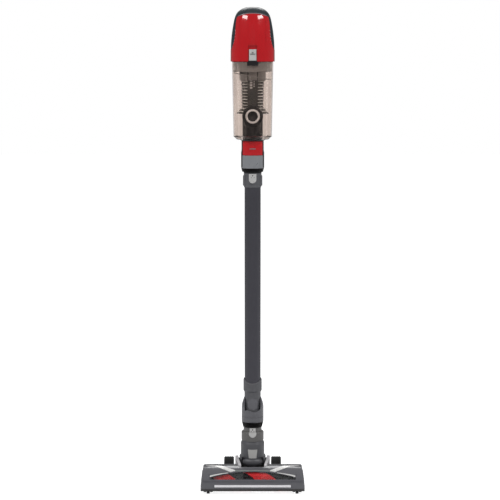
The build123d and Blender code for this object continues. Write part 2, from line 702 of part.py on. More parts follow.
def wand_brush_sleeve():
    low, top = WAND_SLEEVE_LOW, WAND_SLEEVE_TOP
    body = turned(
        (ADAPTOR_R + GAP, low),
        (WAND_SLEEVE_R - 0.8, low),
        (WAND_SLEEVE_R, low + 2),
        (WAND_SLEEVE_R, 182.0),
        (WAND_SLEEVE_R - 0.7, 187.0),
        (WAND_SLEEVE_R - 2.2, 193.0),
        (WAND_SLEEVE_R - 4.6, 200.0),
        (ADAPTOR_R + 0.9, top),
        (ADAPTOR_R + GAP, top),
    )
    half, foot, corner = 18.2, 172.5, 9.0
    front_window = [
        Line((-half, 0, foot + corner), (-half, 0, top + 2)),
        Line((-half, 0, top + 2), (half, 0, top + 2)),
        Line((half, 0, top + 2), (half, 0, foot + corner)),
        Spline(
            (half, 0, foot + corner),
            (half - 3.4, 0, foot + 2.6),
            (0, 0, foot),
            (-half + 3.4, 0, foot + 2.6),
            (-half, 0, foot + corner),
            tangents=[(0, 0, -1), (0, 0, 1)],
        ),
    ]
    body -= front_prism(front_window, -40, -4)
    groove = ring(WAND_SLEEVE_R + 1, WAND_SLEEVE_R - 0.9, 158.6, 160.2)
    return body - groove


def bristle_ring(low, top, inner, outer, tip):
    """Soft brush: a ring of bristles that leans in a little to the tips."""
    return turned((inner, low), (tip, low), (outer, top - 5.0), (outer, top), (inner, top))


def wand_bristles():
    low, top = NECK_SOCKET_TOP + 0.4, WAND_SLEEVE_LOW - 0.05
    return bristle_ring(low, top, WAND_BRUSH_IN, WAND_SLEEVE_R - 0.1, WAND_BRUSH_IN + 1.2)


def hand_bristles():
    return bristle_ring(HAND_BRUSH_LOW, HAND_BRUSH_TOP, BRUSH_IN, RAIL_R - 0.1, BRUSH_IN + 1.0)


def wand_socket():
    """Upper end of the wand: socket with a boss at each side."""
    body = turned(
        (TUBE_R + FIT, SOCKET_LOW),
        (TUBE_R + 1.0, SOCKET_LOW),
        (20.3, SOCKET_LOW + 5),
        (20.3, SOCKET_TOP - 1.2),
        (19.6, SOCKET_TOP),
        (TUBE_R + FIT, SOCKET_TOP),
    )
    boss = block((10.0, 24.0), (-13.0, 13.0), (694.5, 718.0))
    boss = fillet(boss.edges().filter_by(Axis.Y), 4.5)
    boss &= Pos(0, 0, 706) * (Cylinder(BOSS_R, 60) - Cylinder(TUBE_R + FIT, 70))
    body += boss + mirrored(boss)
    bezel = front_prism(shield(1.8, SOCKET_TOP - 2.0), -22.0, -10.0)
    body += bezel & ring(21.6, TUBE_R + FIT, SOCKET_LOW, SOCKET_TOP)
    return body - front_prism(shield(GAP, SOCKET_TOP - 1.2), -40, -TUBE_R + 4)


# ---- dust bin -----------------------------------------------------------------------------

def front_sector(outer, inner, low, high, half_angle):
    """Part of a ring within `half_angle` degrees of straight ahead."""
    reach = 80.0
    x = reach * tan(radians(half_angle)) if half_angle < 89 else reach
    wedge = plan_prism(Polyline((0, 0, 0), (-x, -reach, 0), (x, -reach, 0), close=True), low, high)
    return ring(outer, inner, low, high) & wedge


def nozzle():
    """Spigot, brush guide with its two side rails, and the inlet duct up to the round boss."""
    body = turned(
        (14.5, 697.0),
        (PLUG_R, 697.0),
        (PLUG_R, SOCKET_TOP + GAP),
        (20.6, SOCKET_TOP + GAP),
        (20.6, HAND_BRUSH_TOP + 1),
        (RAIL_R, HAND_BRUSH_TOP + 1),
        (RAIL_R, 770.0),
        (RAIL_R - 1.1, 776.0),
        (RAIL_R - 1.1, CUP_LOW - 3.5),
        (RAIL_R + 3.0, CUP_LOW - FIT),
        (23.1, CUP_LOW - FIT),
        (23.1, BOSS_Z),
        (20.0, BOSS_Z),
        (20.0, CUP_LOW + 4),
        (14.5, 778.0),
    )
    body -= front_sector(RAIL_R + 1, NOZZLE_R, HAND_BRUSH_TOP, PANEL_TOP + 0.3, INLAY_HALF_ANGLE)
    drum = rod_y(BOSS_OUT, 0, BOSS_Z, -34.0, 14.0)
    drum = fillet(drum.faces().sort_by(Axis.Y)[0].edges(), 3.0)
    body += drum
    body -= rod_y(BOSS_OUT - WALL, 0, BOSS_Z, -28.0, 11.6)
    body -= rod_z(20.0, 0, 0, CUP_LOW + 10, BOSS_Z)
    body -= block((-20.0, -9.0), (0.0, 40.0), (BOSS_Z - 4, BOSS_Z + 12))
    return body - rod_y(16.2, 0, BOSS_Z, -36.0, -31.0)


def boss_ring():
    """Bright ring in the boss's face."""
    rim = rod_y(16.1, 0, BOSS_Z, -35.4, -31.05)
    rim = chamfer(rim.faces().sort_by(Axis.Y)[0].edges(), 1.0)
    return rim - rod_y(11.7, 0, BOSS_Z, -40.0, -31.0)


def boss_cap():
    """Dished cap inside the bright ring."""
    cap = rod_y(11.6, 0, BOSS_Z, -34.4, -31.05)
    cap = fillet(cap.faces().sort_by(Axis.Y)[0].edges(), 0.8)
    return cap - Pos(0, -60.6, BOSS_Z) * Sphere(28.0)


def bin_cup():
    """Clear dust cup, open above, with a hole in its floor for the nozzle."""
    return turned(
        (31.5, CUP_LOW),
        (36.5, CUP_LOW),
        (CUP_LOW_R, CUP_LOW + 6.3),
        (CUP_TOP_R, CUP_TOP - 1.0),
        (CUP_TOP_R, CUP_TOP),
        (CUP_TOP_R - 2.0, CUP_TOP),
        (CUP_LOW_R - 2.0, CUP_LOW + 7.6),
        (35.8, CUP_LOW + 2.4),
        (23.3, CUP_LOW + 2.4),
        (23.3, CUP_LOW),
    )


def column_radius(z):
    """Outer radius of the separator column at a height."""
    share = (z - SKIRT_TOP) / (COLUMN_TOP - SKIRT_TOP)
    return COLUMN_LOW_R + share * (COLUMN_TOP_R - COLUMN_LOW_R)


def separator():
    """Ribbed cyclone column with its skirt, hollow inside, with a flat panel down the front."""
    corners = [
        (16.0, SKIRT_LOW),
        (SKIRT_R, SKIRT_LOW),
        (SKIRT_R, SKIRT_LOW + 0.8),
        (column_radius(SKIRT_TOP) - 1.2, SKIRT_TOP),
    ]
    ribs = int((COLUMN_TOP - SKIRT_TOP - 3) / RIB_PITCH)
    for rib in range(ribs):
        z = SKIRT_TOP + 1.5 + rib * RIB_PITCH
        r = column_radius(z)
        corners += [(r - 2.0, z), (r, z + 1.6), (r, z + 3.4), (r - 2.0, z + 5.0)]
    corners += [(COLUMN_TOP_R - 2.0, COLUMN_TOP - FIT), (16.0, COLUMN_TOP - FIT)]
    panel = block((-11.5, 11.5), (-COLUMN_TOP_R - 0.4, -15.0), (BOSS_Z + 12, COLUMN_TOP - FIT))
    body = turned(*corners) + panel
    body -= rod_y(BOSS_OUT + FIT, 0, BOSS_Z, -60, 60)
    return body - rod_z(16.0, 0, 0, 840, 960)


def cyclone_ramp():
    """Sloping collar that turns the air down and round the column, on its own sleeve."""
    slope = Pos(0, 0, 943.0) * Rot(0, 10.5, 0)
    disc = slope * Cylinder(60, 1.8) & Pos(0, 0, 943.0) * Cylinder(CUP_TOP_R - 2.9, 60)
    sleeve = ring(COLUMN_TOP_R + 2.2, 20.0, 934.0, COLUMN_TOP - FIT)
    cut = rod_z(COLUMN_TOP_R + 0.15, 0, 0, 900, 990)
    cut += block((-11.7, 11.7), (-COLUMN_TOP_R - 0.6, -10), (900, 990))
    return disc + sleeve - cut


def filter_housing():
    """Dark drum in the bin's mouth that carries the foam filter."""
    outer = CUP_TOP_R - 2.45
    return turned(
        (18.0, COLUMN_TOP),
        (outer - 0.6, COLUMN_TOP),
        (outer, COLUMN_TOP + 3),
        (outer, CUP_TOP),
        (outer - 2.4, CUP_TOP),
        (outer - 2.4, COLUMN_TOP + 2.4),
        (18.0, COLUMN_TOP + 2.4),
    )


def foam_filter():
    return ring(CUP_TOP_R - 5.2, 4.0, COLUMN_TOP + 2.5, CUP_TOP - 1.0)


def bin_seal():
    return ring(CUP_TOP_R - 0.3, CUP_TOP_R - 4.0, CUP_TOP + 0.05, BULKHEAD_LOW - 0.4)


def bin_catch():
    """Dark catch on the cup's rim, with a pocket for the foot of the sliding latch."""
    catch = block((-12.6, 12.6), (-51.6, -40.0), (967.3, CUP_TOP + 0.9))
    catch = chamfer(catch.faces().sort_by(Axis.Y)[0].edges(), 0.8)
    catch -= rod_z(CUP_TOP_R + 0.05, 0, 0, 960, 980)
    reach = BIN_LATCH_HALF + GAP
    return catch - block((-reach, reach), (-60, BIN_LATCH_BACK + GAP), (BIN_LATCH_LOW - GAP, 980))


def hand_brush_slider():
    """Bright front slide of the nozzle's brush."""
    low = HAND_BRUSH_TOP + 0.05
    slide = front_sector(RAIL_R - 0.1, NOZZLE_R + GAP, low, SLIDER_TOP - 0.3, INLAY_HALF_ANGLE - 1.2)
    lip = front_sector(RAIL_R + 0.6, RAIL_R - 0.6, low, HAND_BRUSH_TOP + 3.0, INLAY_HALF_ANGLE - 1.2)
    return slide + lip


def brush_release():
    """Red push panel over the nozzle's brush."""
    low, half_angle = SLIDER_TOP + 0.3, INLAY_HALF_ANGLE - 2.8
    panel = front_sector(RAIL_R - 0.5, NOZZLE_R + 1.6, low, PANEL_TOP - 0.3, half_angle)
    mark = front_sector(RAIL_R - 0.1, RAIL_R - 0.9, 781.0, 783.2, 9.0)
    return panel + mark


# ---- motor unit ---------------------------------------------------------------------------

def housing_form(grow=0.0, low=BODY_LOW):
    """The motor unit's turned outer form: a barrel closing in to a dome."""
    crown = TOP_Z + grow
    scale = 1 + grow / 60.0
    curve = Spline(
        (BODY_R + grow, 0, 1000.0),
        (47.6 + grow, 0, 1034.0),
        (42.6 * scale, 0, 1066.0 + grow * 0.5),
        (35.0 * scale, 0, 1086.0 + grow * 0.8),
        (22.0 * scale, 0, 1095.6 + grow),
        (0, 0, crown),
        tangents=[(0, 0, 1), (-1, 0, 0)],
    )
    outline = [
        curve,
        Line((0, 0, crown), (0, 0, low)),
        Line((0, 0, low), (BODY_R + grow, 0, low)),
        Line((BODY_R + grow, 0, low), (BODY_R + grow, 0, 1000.0)),
    ]
    return revolve(make_face(outline), Axis.Z)


def cover_outline(grow=0.0):
    """Front view of the red cover: full width at the foot, then drawn in, with an arched top."""
    wide, waist = 56.0, 40.5 + grow
    return [
        Line((-wide, 0, 960), (wide, 0, 960)),
        Line((wide, 0, 960), (wide, 0, 1003 + grow)),
        Line((wide, 0, 1003 + grow), (48.5, 0, 1003 + grow)),
        Spline(
            (48.5, 0, 1003 + grow),
            (waist + 2.0, 0, 1019),
            (waist - 1.5, 0, 1045),
            (waist - 5.2, 0, 1076),
            tangents=[(-0.5, 0, 1), (-0.3, 0, 1)],
        ),
        ThreePointArc((waist - 5.2, 0, 1076), (0, 0, 1083.5 + grow), (-waist + 5.2, 0, 1076)),
        Spline(
            (-waist + 5.2, 0, 1076),
            (-waist + 1.5, 0, 1045),
            (-waist - 2.0, 0, 1019),
            (-48.5, 0, 1003 + grow),
            tangents=[(-0.3, 0, -1), (-0.5, 0, -1)],
        ),
        Line((-48.5, 0, 1003 + grow), (-wide, 0, 1003 + grow)),
        Line((-wide, 0, 1003 + grow), (-wide, 0, 960)),
    ]


def front_cover():
    """Red gloss front shell with the latch's framed channel and two crease lines."""
    shell = housing_form(0.5) - housing_form(-WALL, BODY_LOW - 1)
    cover = shell & front_prism(cover_outline(), -70, -1.0)
    frame = (housing_form(1.1) - housing_form(0.0)) & block((-12.6, 12.6), (-70, -40), (BODY_LOW, 1014.8))
    cover += frame
    cover -= block((-CHANNEL_HALF, CHANNEL_HALF), (-70, -40), (BODY_LOW - 5, CHANNEL_TOP))
    plate = block((-12.5, 12.5), (-47.6, -45.0), (BULKHEAD_TOP + 0.2, CHANNEL_TOP + 3))
    cover += plate & housing_form(-WALL + 0.4)
    for x in (-29.0, 29.0):
        crease = block((x - 0.5, x + 0.5), (-70, 0), (1020, 1068))
        cover -= crease - housing_form(0.0)
    return cover


def rear_housing():
    """Dark rear shell with the bulkhead and the exhaust slots."""
    shell = housing_form() - housing_form(-WALL, BODY_LOW - 1)
    shell -= front_prism(cover_outline(0.25), -70, -0.85)
    shell += ring(BODY_R - WALL - 0.4, 20.0, BULKHEAD_LOW, BULKHEAD_TOP)
    seat = ring(BODY_R - 1.0, BODY_R - WALL - 1.0, BULKHEAD_LOW, BULKHEAD_TOP)
    shell += seat & block((-60, 60), (0.5, 60), (970, 990))
    for side in (-1, 1):
        for step in range(6):
            z = 1010.0 + 7.0 * step
            shell -= block(sorted((side * 30.0, side * 60.0)), (6.0, 30.0), (z, z + 2.6))
    return shell


def bin_latch():
    """Silver slide that frees the bin: a plate with a thumb line and an arrow."""
    half = BIN_LATCH_HALF
    plate = block((-half, half), (BIN_LATCH_BACK - 2.9, BIN_LATCH_BACK), (BIN_LATCH_LOW, BIN_LATCH_TOP))
    plate = fillet(plate.faces().sort_by(Axis.Y)[0].edges(), 0.9)
    plate -= block((-5.2, 5.2), (-60, BIN_LATCH_BACK - 2.2), (991.5, 993.0))
    arrow = Polyline((-2.6, 0, 994.6), (0, 0, 1000.2), (2.6, 0, 994.6), (0, 0, 996.0), close=True)
    return plate - front_prism(arrow, -60, BIN_LATCH_BACK - 2.4)


def handle_outline(inset=0.0):
    """Side outline of the handle's loop, without its finger hole."""
    bridge = BATTERY_TOP + FIT
    top = 1091 - inset
    back = [(62, top), (97 - 0.7 * inset, 1078 - 0.7 * inset), (110 - inset, 1044)]
    foot = 106.5 - inset
    return [
        Line((0, 0, top), (0, *back[0])),
        ThreePointArc(*[(0, y, z) for y, z in back]),
        Line((0, *back[2]), (0, foot, bridge)),
        Line((0, foot, bridge), (0, 51.5 + inset, bridge)),
        Line((0, 51.5 + inset, bridge), (0, 51.5 + inset, BODY_LOW + inset)),
        Line((0, 51.5 + inset, BODY_LOW + inset), (0, 0, BODY_LOW + inset)),
        Line((0, 0, BODY_LOW + inset), (0, 0, top)),
    ]


def finger_hole(half_width, grow=0.0):
    """Cutter for the space between the grip and the motor."""
    top, low, back = 1066 + grow, 996 - grow, 81.0 + grow
    return side_slab(
        [
            Line((0, 40, top), (0, 62, top)),
            ThreePointArc((0, 62, top), (0, back - 5.0, top - 6.0), (0, back, 1044)),
            Line((0, back, 1044), (0, back - 2.5, 1010)),
            ThreePointArc((0, back - 2.5, 1010), (0, back - 6.7, low + 4.0), (0, 66, low)),
            Line((0, 66, low), (0, 40, low)),
            Line((0, 40, low), (0, 40, top)),
        ],
        -half_width,
        half_width,
    )


def handle():
    """Closed loop behind the motor, hollow, with the bridge that carries the battery."""
    loop = side_slab(handle_outline(), -GRIP_HALF, GRIP_HALF)
    rims = loop.edges().filter_by(lambda e: abs(e.center().X) > GRIP_HALF - 1)
    rims = rims.filter_by(lambda e: e.center().Y > 60 and e.center().Z > BATTERY_TOP + 5)
    loop = fillet(rims, 8.0)
    loop -= finger_hole(40)
    loop -= housing_form(FIT, BODY_LOW - 5)
    rims = loop.edges().filter_by(lambda e: abs(abs(e.center().X) - GRIP_HALF) < 0.3)
    rims = rims.filter_by(lambda e: 60 < e.center().Y < 84 and 994 < e.center().Z < 1068)
    loop = fillet(rims, 4.0)
    inside = side_slab(handle_outline(3.2), -GRIP_HALF + 3.5, GRIP_HALF - 3.5)
    inside -= finger_hole(40, 3.2)
    inside -= block((-20, 20), (102.0, 120), (983, 1047))
    inside -= block((-20, 20), (45.0, 90.0), (1085.0, 1100))
    inside -= block((-20, 20), (0, 55.0), (1060, 1100))
    loop -= inside
    loop -= block((-6.4, 6.4), (50.0, 84.0), (1088.4, 1095))
    return loop - block((-9.5, 9.5), (104.2, 120), (987, 1043))


def grip_pad():
    """Soft insert let into the back of the grip."""
    pad = block((-9.3, 9.3), (104.3, 111.4), (987.2, 1042.8))
    back = side_slab(
        Polyline((0, 100, 980), (0, 108.6, 980), (0, 111.2, 1045), (0, 100, 1045), close=True), -20, 20
    )
    pad &= back
    pad = fillet(pad.faces().sort_by(Axis.Y)[-1].edges(), 1.2)
    for step in range(9):
        z = 992.0 + 6.0 * step
        pad -= block((-6.0, 6.0), (108.2 + 0.04 * (z - 980) - 0.8, 120), (z, z + 1.8))
    return pad


def power_switch():
    """Thumb slide on top of the handle."""
    slide = block((-6.0, 6.0), (54.0, 70.0), (1088.8, 1092.6))
    slide = fillet(slide.faces().sort_by(Axis.Z)[-1].edges(), 1.0)
    for step in range(4):
        y = 57.0 + 3.2 * step
        slide -= block((-4.2, 4.2), (y, y + 1.2), (1092.0, 1095))
    return slide


def battery_form(grow=0.0):
    form = block(
        (-BATTERY_HALF - grow, BATTERY_HALF + grow),
        (BATTERY_FRONT - grow, REACH_Y + grow),
        (BATTERY_LOW - grow, BATTERY_TOP + grow),
    )
    return fillet(form.edges().filter_by(Axis.Z), 9.0 + grow)


def battery_case():
    case = battery_form() - battery_form(-WALL)
    case -= block((-40, 40), (40, 120), (880, BATTERY_LOW + 3.5))
    boss = rod_y(JACK_R + 2.6, 0, JACK_Z, REACH_Y - 5.0, REACH_Y - 1.0)
    case += boss
    return case - rod_y(JACK_R + 2.5 - 0.9, 0, JACK_Z, REACH_Y - 11, REACH_Y + 2)


def battery_lid():
    """Screwed plate under the cells."""
    lid = battery_form() & block((-40, 40), (40, 120), (880, BATTERY_LOW + 3.4))
    lid = chamfer(lid.faces().sort_by(Axis.Z)[0].edges(), 1.2)
    return lid


def battery_cells():
    cells = []
    for x, y in ((-9.6, 65.0), (9.6, 65.0), (-9.6, 84.0), (9.6, 84.0)):
        cell = rod_z(CELL_R, x, y, CELL_LOW, CELL_LOW + CELL_LENGTH)
        cells.append(cell + rod_z(3.0, x, y, CELL_LOW + CELL_LENGTH, CELL_LOW + CELL_LENGTH + 1.5))
    return Compound(cells)


def charge_jack():
    """Round charging socket in the battery's back, closed at its inner end."""
    face = REACH_Y - 0.4
    body = rod_y(JACK_R + 1.5, 0, JACK_Z, face - JACK_DEPTH - 1.2, face)
    return body - rod_y(JACK_R, 0, JACK_Z, face - JACK_DEPTH, face + 1)


def motor_case():
    """Fan scroll and motor can with a bearing seat at each end."""
    case = turned(
        (16.0, 984.0),
        (FAN_R + 4.0, 984.0),
        (FAN_R + 4.0, 1004.0),
        (MOTOR_R, MOTOR_LOW),
        (MOTOR_R, MOTOR_TOP),
        (9.0, MOTOR_TOP + 3),
        (9.0, MOTOR_TOP + 7),
        (3.1, MOTOR_TOP + 7),
        (3.1, MOTOR_TOP + 1),
        (MOTOR_R - 1.6, MOTOR_TOP - 1.6),
        (MOTOR_R - 1.6, MOTOR_LOW + 2),
        (3.1, MOTOR_LOW + 2),
        (3.1, MOTOR_LOW - 2),
        (FAN_R + 2.0, 1002.4),
        (FAN_R + 2.0, 985.6),
        (16.0, 985.6),
    )
    return case


def stator():
    """Wound stator: a ring of nine teeth inside the can."""
    body = ring(MOTOR_R - 1.8, 21.0, 1018, 1044)
    for tooth in range(9):
        body += Rot(0, 0, 40 * tooth) * block((14.6, 22.0), (-3.2, 3.2), (1020, 1042))
    return body


def fan_rotor():
    """Shaft, rotor and nine-bladed fan in one spinning piece."""
    rotor = rod_z(3.0, 0, 0, 987.5, MOTOR_TOP + 9)
    rotor += rod_z(13.8, 0, 0, 1016, 1046)
    rotor += ring(FAN_R, 2.0, FAN_TOP - 1.6, FAN_TOP - 0.2)
    rotor += turned((2.0, FAN_LOW + 1), (6.0, FAN_LOW + 1), (9.0, FAN_TOP - 1), (2.0, FAN_TOP - 1))
    for blade in range(9):
        vane = block((6.0, FAN_R - 1), (-0.7, 0.7), (FAN_LOW + 2.5, FAN_TOP - 1.2))
        rotor += Rot(0, 0, 40 * blade) * Pos(0, 2.5, 0) * vane
    return rotor


def circuit_board():
    board = block((-15.0, 15.0), (38.4, 40.0), (984.0, 1024.0))
    for x, z, w, h in ((-8, 992, 8, 6), (6, 994, 10, 8), (-6, 1010, 12, 9), (9, 1012, 5, 10)):
        board += block((x - w / 2, x + w / 2), (36.0, 38.5), (z - h / 2, z + h / 2))
    return board


# ---- every node, with its name ------------------------------------------------------------

NODES = {
    "head_base": head_base,
    "head_cover": head_cover,
    "head_window": head_window,
    "trim_bands": trim_bands,
    "hinge_cheeks": hinge_cheeks,
    "led_lens": led_lens,
    "led_board": led_board,
    "brush_motor": brush_motor,
    "drive_belt": drive_belt,
    "motor_pulley": motor_pulley,
    "brush_core": brush_core,
    "brush_pile": brush_pile,
    "wheel_axles": wheel_axles,
    "wheel_hub_right": wheel_hub,
    "wheel_hub_left": lambda: mirrored(wheel_hub()),
    "wheel_tyre_right": wheel_tyre,
    "wheel_tyre_left": lambda: mirrored(wheel_tyre()),
    "front_roller_right": lambda: caster(CASTER_X),
    "front_roller_left": lambda: caster(-CASTER_X),
    "sole_strip": sole_strip,
    "head_screws": head_screws,
    "neck_front": neck_front,
    "neck_rear": neck_rear,
    "neck_button": neck_button,
    "swivel_socket": swivel_socket,
    "wand_latch": neck_latch,
    "wand_tube": wand_tube,
    "wand_adaptor": wand_adaptor,
    "wand_socket": wand_socket,
    "wand_brush_button": wand_brush_button,
    "wand_brush_sleeve": wand_brush_sleeve,
    "wand_bristles": wand_bristles,
    "handheld_latch": top_latch,
    "nozzle": nozzle,
    "boss_ring": boss_ring,
    "boss_cap": boss_cap,
    "bin_cup": bin_cup,
    "separator": separator,
    "cyclone_ramp": cyclone_ramp,
    "filter_housing": filter_housing,
    "foam_filter": foam_filter,
    "bin_seal": bin_seal,
    "bin_catch": bin_catch,
    "hand_brush_slider": hand_brush_slider,
    "hand_bristles": hand_bristles,
    "brush_release": brush_release,
    "front_cover": front_cover,
    "rear_housing": rear_housing,
    "bin_latch": bin_latch,
    "handle": handle,
    "grip_pad": grip_pad,
    "power_switch": power_switch,
    "battery_case": battery_case,
    "battery_lid": battery_lid,
    "battery_cells": battery_cells,
    "charge_jack": charge_jack,
    "motor_case": motor_case,
    "stator": stator,
    "fan_rotor": fan_rotor,
    "circuit_board": circuit_board,
}

os.makedirs("parts", exist_ok=True)
for name, make in NODES.items():
    export_step(make(), f"parts/{name}.step")
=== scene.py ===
# %% [markdown]
# # A cordless stick vacuum, finished in Blender
# The measured model gives every solid its exact place, so this lesson is about surfaces:
# gloss shells, a painted tube, smoky clear plastic, bristles and rubber. We load the model as
# a fixed frame, light it softly, build the finishes from shared node groups, and then add the
# pieces that solids can't show, such as bristles, fibres, printed marks and a fine bead that
# paints a highlight.

import json
import math

import bmesh
import bpy
import numpy as np
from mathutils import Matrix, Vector


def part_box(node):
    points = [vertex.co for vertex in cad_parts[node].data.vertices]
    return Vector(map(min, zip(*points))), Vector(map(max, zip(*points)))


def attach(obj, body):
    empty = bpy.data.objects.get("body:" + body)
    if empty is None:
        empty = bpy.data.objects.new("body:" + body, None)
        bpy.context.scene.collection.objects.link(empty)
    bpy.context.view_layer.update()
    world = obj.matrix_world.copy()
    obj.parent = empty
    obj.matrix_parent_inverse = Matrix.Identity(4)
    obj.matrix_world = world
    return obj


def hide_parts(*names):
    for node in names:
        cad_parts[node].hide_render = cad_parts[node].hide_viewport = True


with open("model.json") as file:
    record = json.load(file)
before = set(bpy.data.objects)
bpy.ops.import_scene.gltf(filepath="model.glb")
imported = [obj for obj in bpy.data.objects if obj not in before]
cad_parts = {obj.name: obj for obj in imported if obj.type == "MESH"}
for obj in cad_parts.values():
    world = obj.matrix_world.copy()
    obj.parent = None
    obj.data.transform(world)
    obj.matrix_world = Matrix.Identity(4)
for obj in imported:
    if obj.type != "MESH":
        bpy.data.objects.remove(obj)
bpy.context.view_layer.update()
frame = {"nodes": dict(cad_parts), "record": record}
nodes = frame["nodes"]
MM = 0.001
rng = np.random.default_rng(11)

# %% [markdown]
# ## The camera
# A product shot is taken from far away with a long lens, so that upright lines stay upright.
# The camera stands almost four metres in front, just below the top of the cleaner, and is
# pitched down a little so that the floor head shows its top.

# %% Camera
SHOT_DISTANCE = 3.8
SHOT_HEIGHT = 0.975
SHOT_PITCH = 6.439
SHOT_ASIDE = -0.006
LENS_MM = 119.84

shot = bpy.data.cameras.new("shot")
shot.lens = LENS_MM
shot.sensor_width = 36.0
shot.clip_start = 0.1
shot.clip_end = 60.0
camera = bpy.data.objects.new("shot", shot)
camera.location = (SHOT_ASIDE, -SHOT_DISTANCE, SHOT_HEIGHT)
camera.rotation_euler = (math.radians(90 - SHOT_PITCH), 0, 0)
bpy.context.scene.collection.objects.link(camera)
bpy.context.scene.camera = camera
bpy.context.scene.view_settings.view_transform = "Standard"
print("camera", tuple(round(v, 3) for v in camera.location))

# %% [markdown]
# ## The studio
# Dark gloss plastic shows whatever is around it, so the room matters as much as the lamps.
# The camera and the clear cup see a white room, while reflections see a dark one, as when
# black cloth hangs beside the product. Two soft boxes high at the sides make the bright
# panes on the red shell. The tall side lamps and the front fill only lift the shadows:
# they are hidden from reflections, which a real lamp can't be. The floor likewise glows for
# the camera alone, so that it reads as plain white paper.

# %% Room and floor
room = bpy.data.worlds.new("room")
bpy.context.scene.world = room
room.use_nodes = True
wt = room.node_tree
wt.nodes.clear()
out = wt.nodes.new("ShaderNodeOutputWorld")
path = wt.nodes.new("ShaderNodeLightPath")
levels = (("Is Glossy Ray", 0.14), ("Is Transmission Ray", 1.0), ("Is Camera Ray", 1.0))
backdrop = wt.nodes.new("ShaderNodeBackground")
backdrop.inputs["Color"].default_value = (0.96, 0.98, 1.0, 1)
backdrop.inputs["Strength"].default_value = 0.34
shown = backdrop.outputs[0]
for ray, strength in levels:
    tone = wt.nodes.new("ShaderNodeBackground")
    tone.inputs["Color"].default_value = (1.0, 1.0, 1.0, 1)
    tone.inputs["Strength"].default_value = strength
    pick = wt.nodes.new("ShaderNodeMixShader")
    wt.links.new(path.outputs[ray], pick.inputs["Fac"])
    wt.links.new(shown, pick.inputs[1])
    wt.links.new(tone.outputs[0], pick.inputs[2])
    shown = pick.outputs[0]
wt.links.new(shown, out.inputs["Surface"])

floor_mesh = bpy.data.meshes.new("floor")
bm = bmesh.new()
bmesh.ops.create_circle(bm, cap_ends=True, segments=96, radius=14.0)
bm.to_mesh(floor_mesh)
bm.free()
floor = bpy.data.objects.new("floor", floor_mesh)
floor.location = (0, 0, -0.0002)
bpy.context.scene.collection.objects.link(floor)
floor_paint = bpy.data.materials.new("studio_floor")
floor_paint.use_nodes = True
ft = floor_paint.node_tree
ft.nodes.clear()
f_out = ft.nodes.new("ShaderNodeOutputMaterial")
f_diff = ft.nodes.new("ShaderNodeBsdfDiffuse")
f_diff.inputs["Color"].default_value = (0.60, 0.60, 0.60, 1)
f_glow = ft.nodes.new("ShaderNodeEmission")
f_glow.inputs["Color"].default_value = (1, 1, 1, 1)
f_path = ft.nodes.new("ShaderNodeLightPath")
f_level = ft.nodes.new("ShaderNodeMapRange")
f_level.inputs["To Min"].default_value = 0.10
f_level.inputs["To Max"].default_value = 0.85
ft.links.new(f_path.outputs["Is Camera Ray"], f_level.inputs["Value"])
ft.links.new(f_level.outputs["Result"], f_glow.inputs["Strength"])
f_add = ft.nodes.new("ShaderNodeAddShader")
ft.links.new(f_diff.outputs[0], f_add.inputs[0])
ft.links.new(f_glow.outputs[0], f_add.inputs[1])
ft.links.new(f_add.outputs[0], f_out.inputs["Surface"])
floor_mesh.materials.append(floor_paint)

# %% [markdown]
# ## The lamps
# A soft box is a lamp behind a sheet of white cloth, and a rectangular area lamp does the same
# job. One helper builds each from its place, its aim and its size. Large lamps far away give
# broad, gentle light, and their mirrored shape is what shows on gloss.


# %% Lamps
def soft_box(name, place, aim, width, height, watts, tint=(1, 1, 1)):
    """One rectangular lamp that faces `aim`."""
    lamp = bpy.data.lights.new(name, "AREA")
    lamp.shape = "RECTANGLE"
    lamp.size, lamp.size_y = width, height
    lamp.energy = watts
    lamp.color = tint
    holder = bpy.data.objects.new(name, lamp)
    holder.location = place
    holder.rotation_euler = (Vector(aim) - Vector(place)).to_track_quat("-Z", "Y").to_euler()
    bpy.context.scene.collection.objects.link(holder)
    return holder


for side, sign in (("left", -1), ("right", 1)):
    soft_box("pane_" + side, (sign * 2.06, -1.41, 2.73), (0, 0, 1.05), 1.7, 0.75, 38)
for side, sign in (("left", -1), ("right", 1)):
    far = soft_box("far_" + side, (sign * 2.8, 0.3, 0.9), (0, 0, 0.5), 0.6, 2.0, 12)
    far.visible_glossy = False
soft_box("back_top", (0.0, 2.2, 2.6), (0, 0, 0.8), 1.6, 0.8, 14)
fill = soft_box("front_fill", (0.0, -4.6, 1.9), (0, 0, 0.55), 2.4, 1.6, 14)
fill.visible_glossy = False

# %% [markdown]
# ## Shared effects as node groups
# Every moulding on a vacuum has the same small faults: a fine grain from its tool, edges that
# are rubbed a little paler, a film of handling marks and some settled dust. The paler edges also
# paint the highlight that edges catch. Each effect is a node group with named sockets, built
# once, so each finish only chooses its own amounts.


# %% Group helper
def new_group(name, inputs, outputs):
    """An empty shader node group with named float sockets."""
    group = bpy.data.node_groups.new(name, "ShaderNodeTree")
    for label, value in inputs:
        socket = group.interface.new_socket(label, in_out="INPUT", socket_type="NodeSocketFloat")
        socket.default_value = value
    for label in outputs:
        group.interface.new_socket(label, in_out="OUTPUT", socket_type="NodeSocketFloat")
    return group, group.nodes.new("NodeGroupInput"), group.nodes.new("NodeGroupOutput")


def math_node(tree, operation, a, b=None, clamp=False):
    """One Math node; a and b are sockets or plain numbers."""
    node = tree.nodes.new("ShaderNodeMath")
    node.operation = operation
    node.use_clamp = clamp
    for index, value in enumerate((a, b)):
        if value is None:
            continue
        if isinstance(value, (int, float)):
            node.inputs[index].default_value = value
        else:
            tree.links.new(value, node.inputs[index])
    return node.outputs[0]

# %% [markdown]
# ## Grain from the mould
# A mould is spark-eroded or blasted, and the plastic copies its fine texture. Two noises make
# it: one for the height of the grain and a slower one for faint changes of colour.


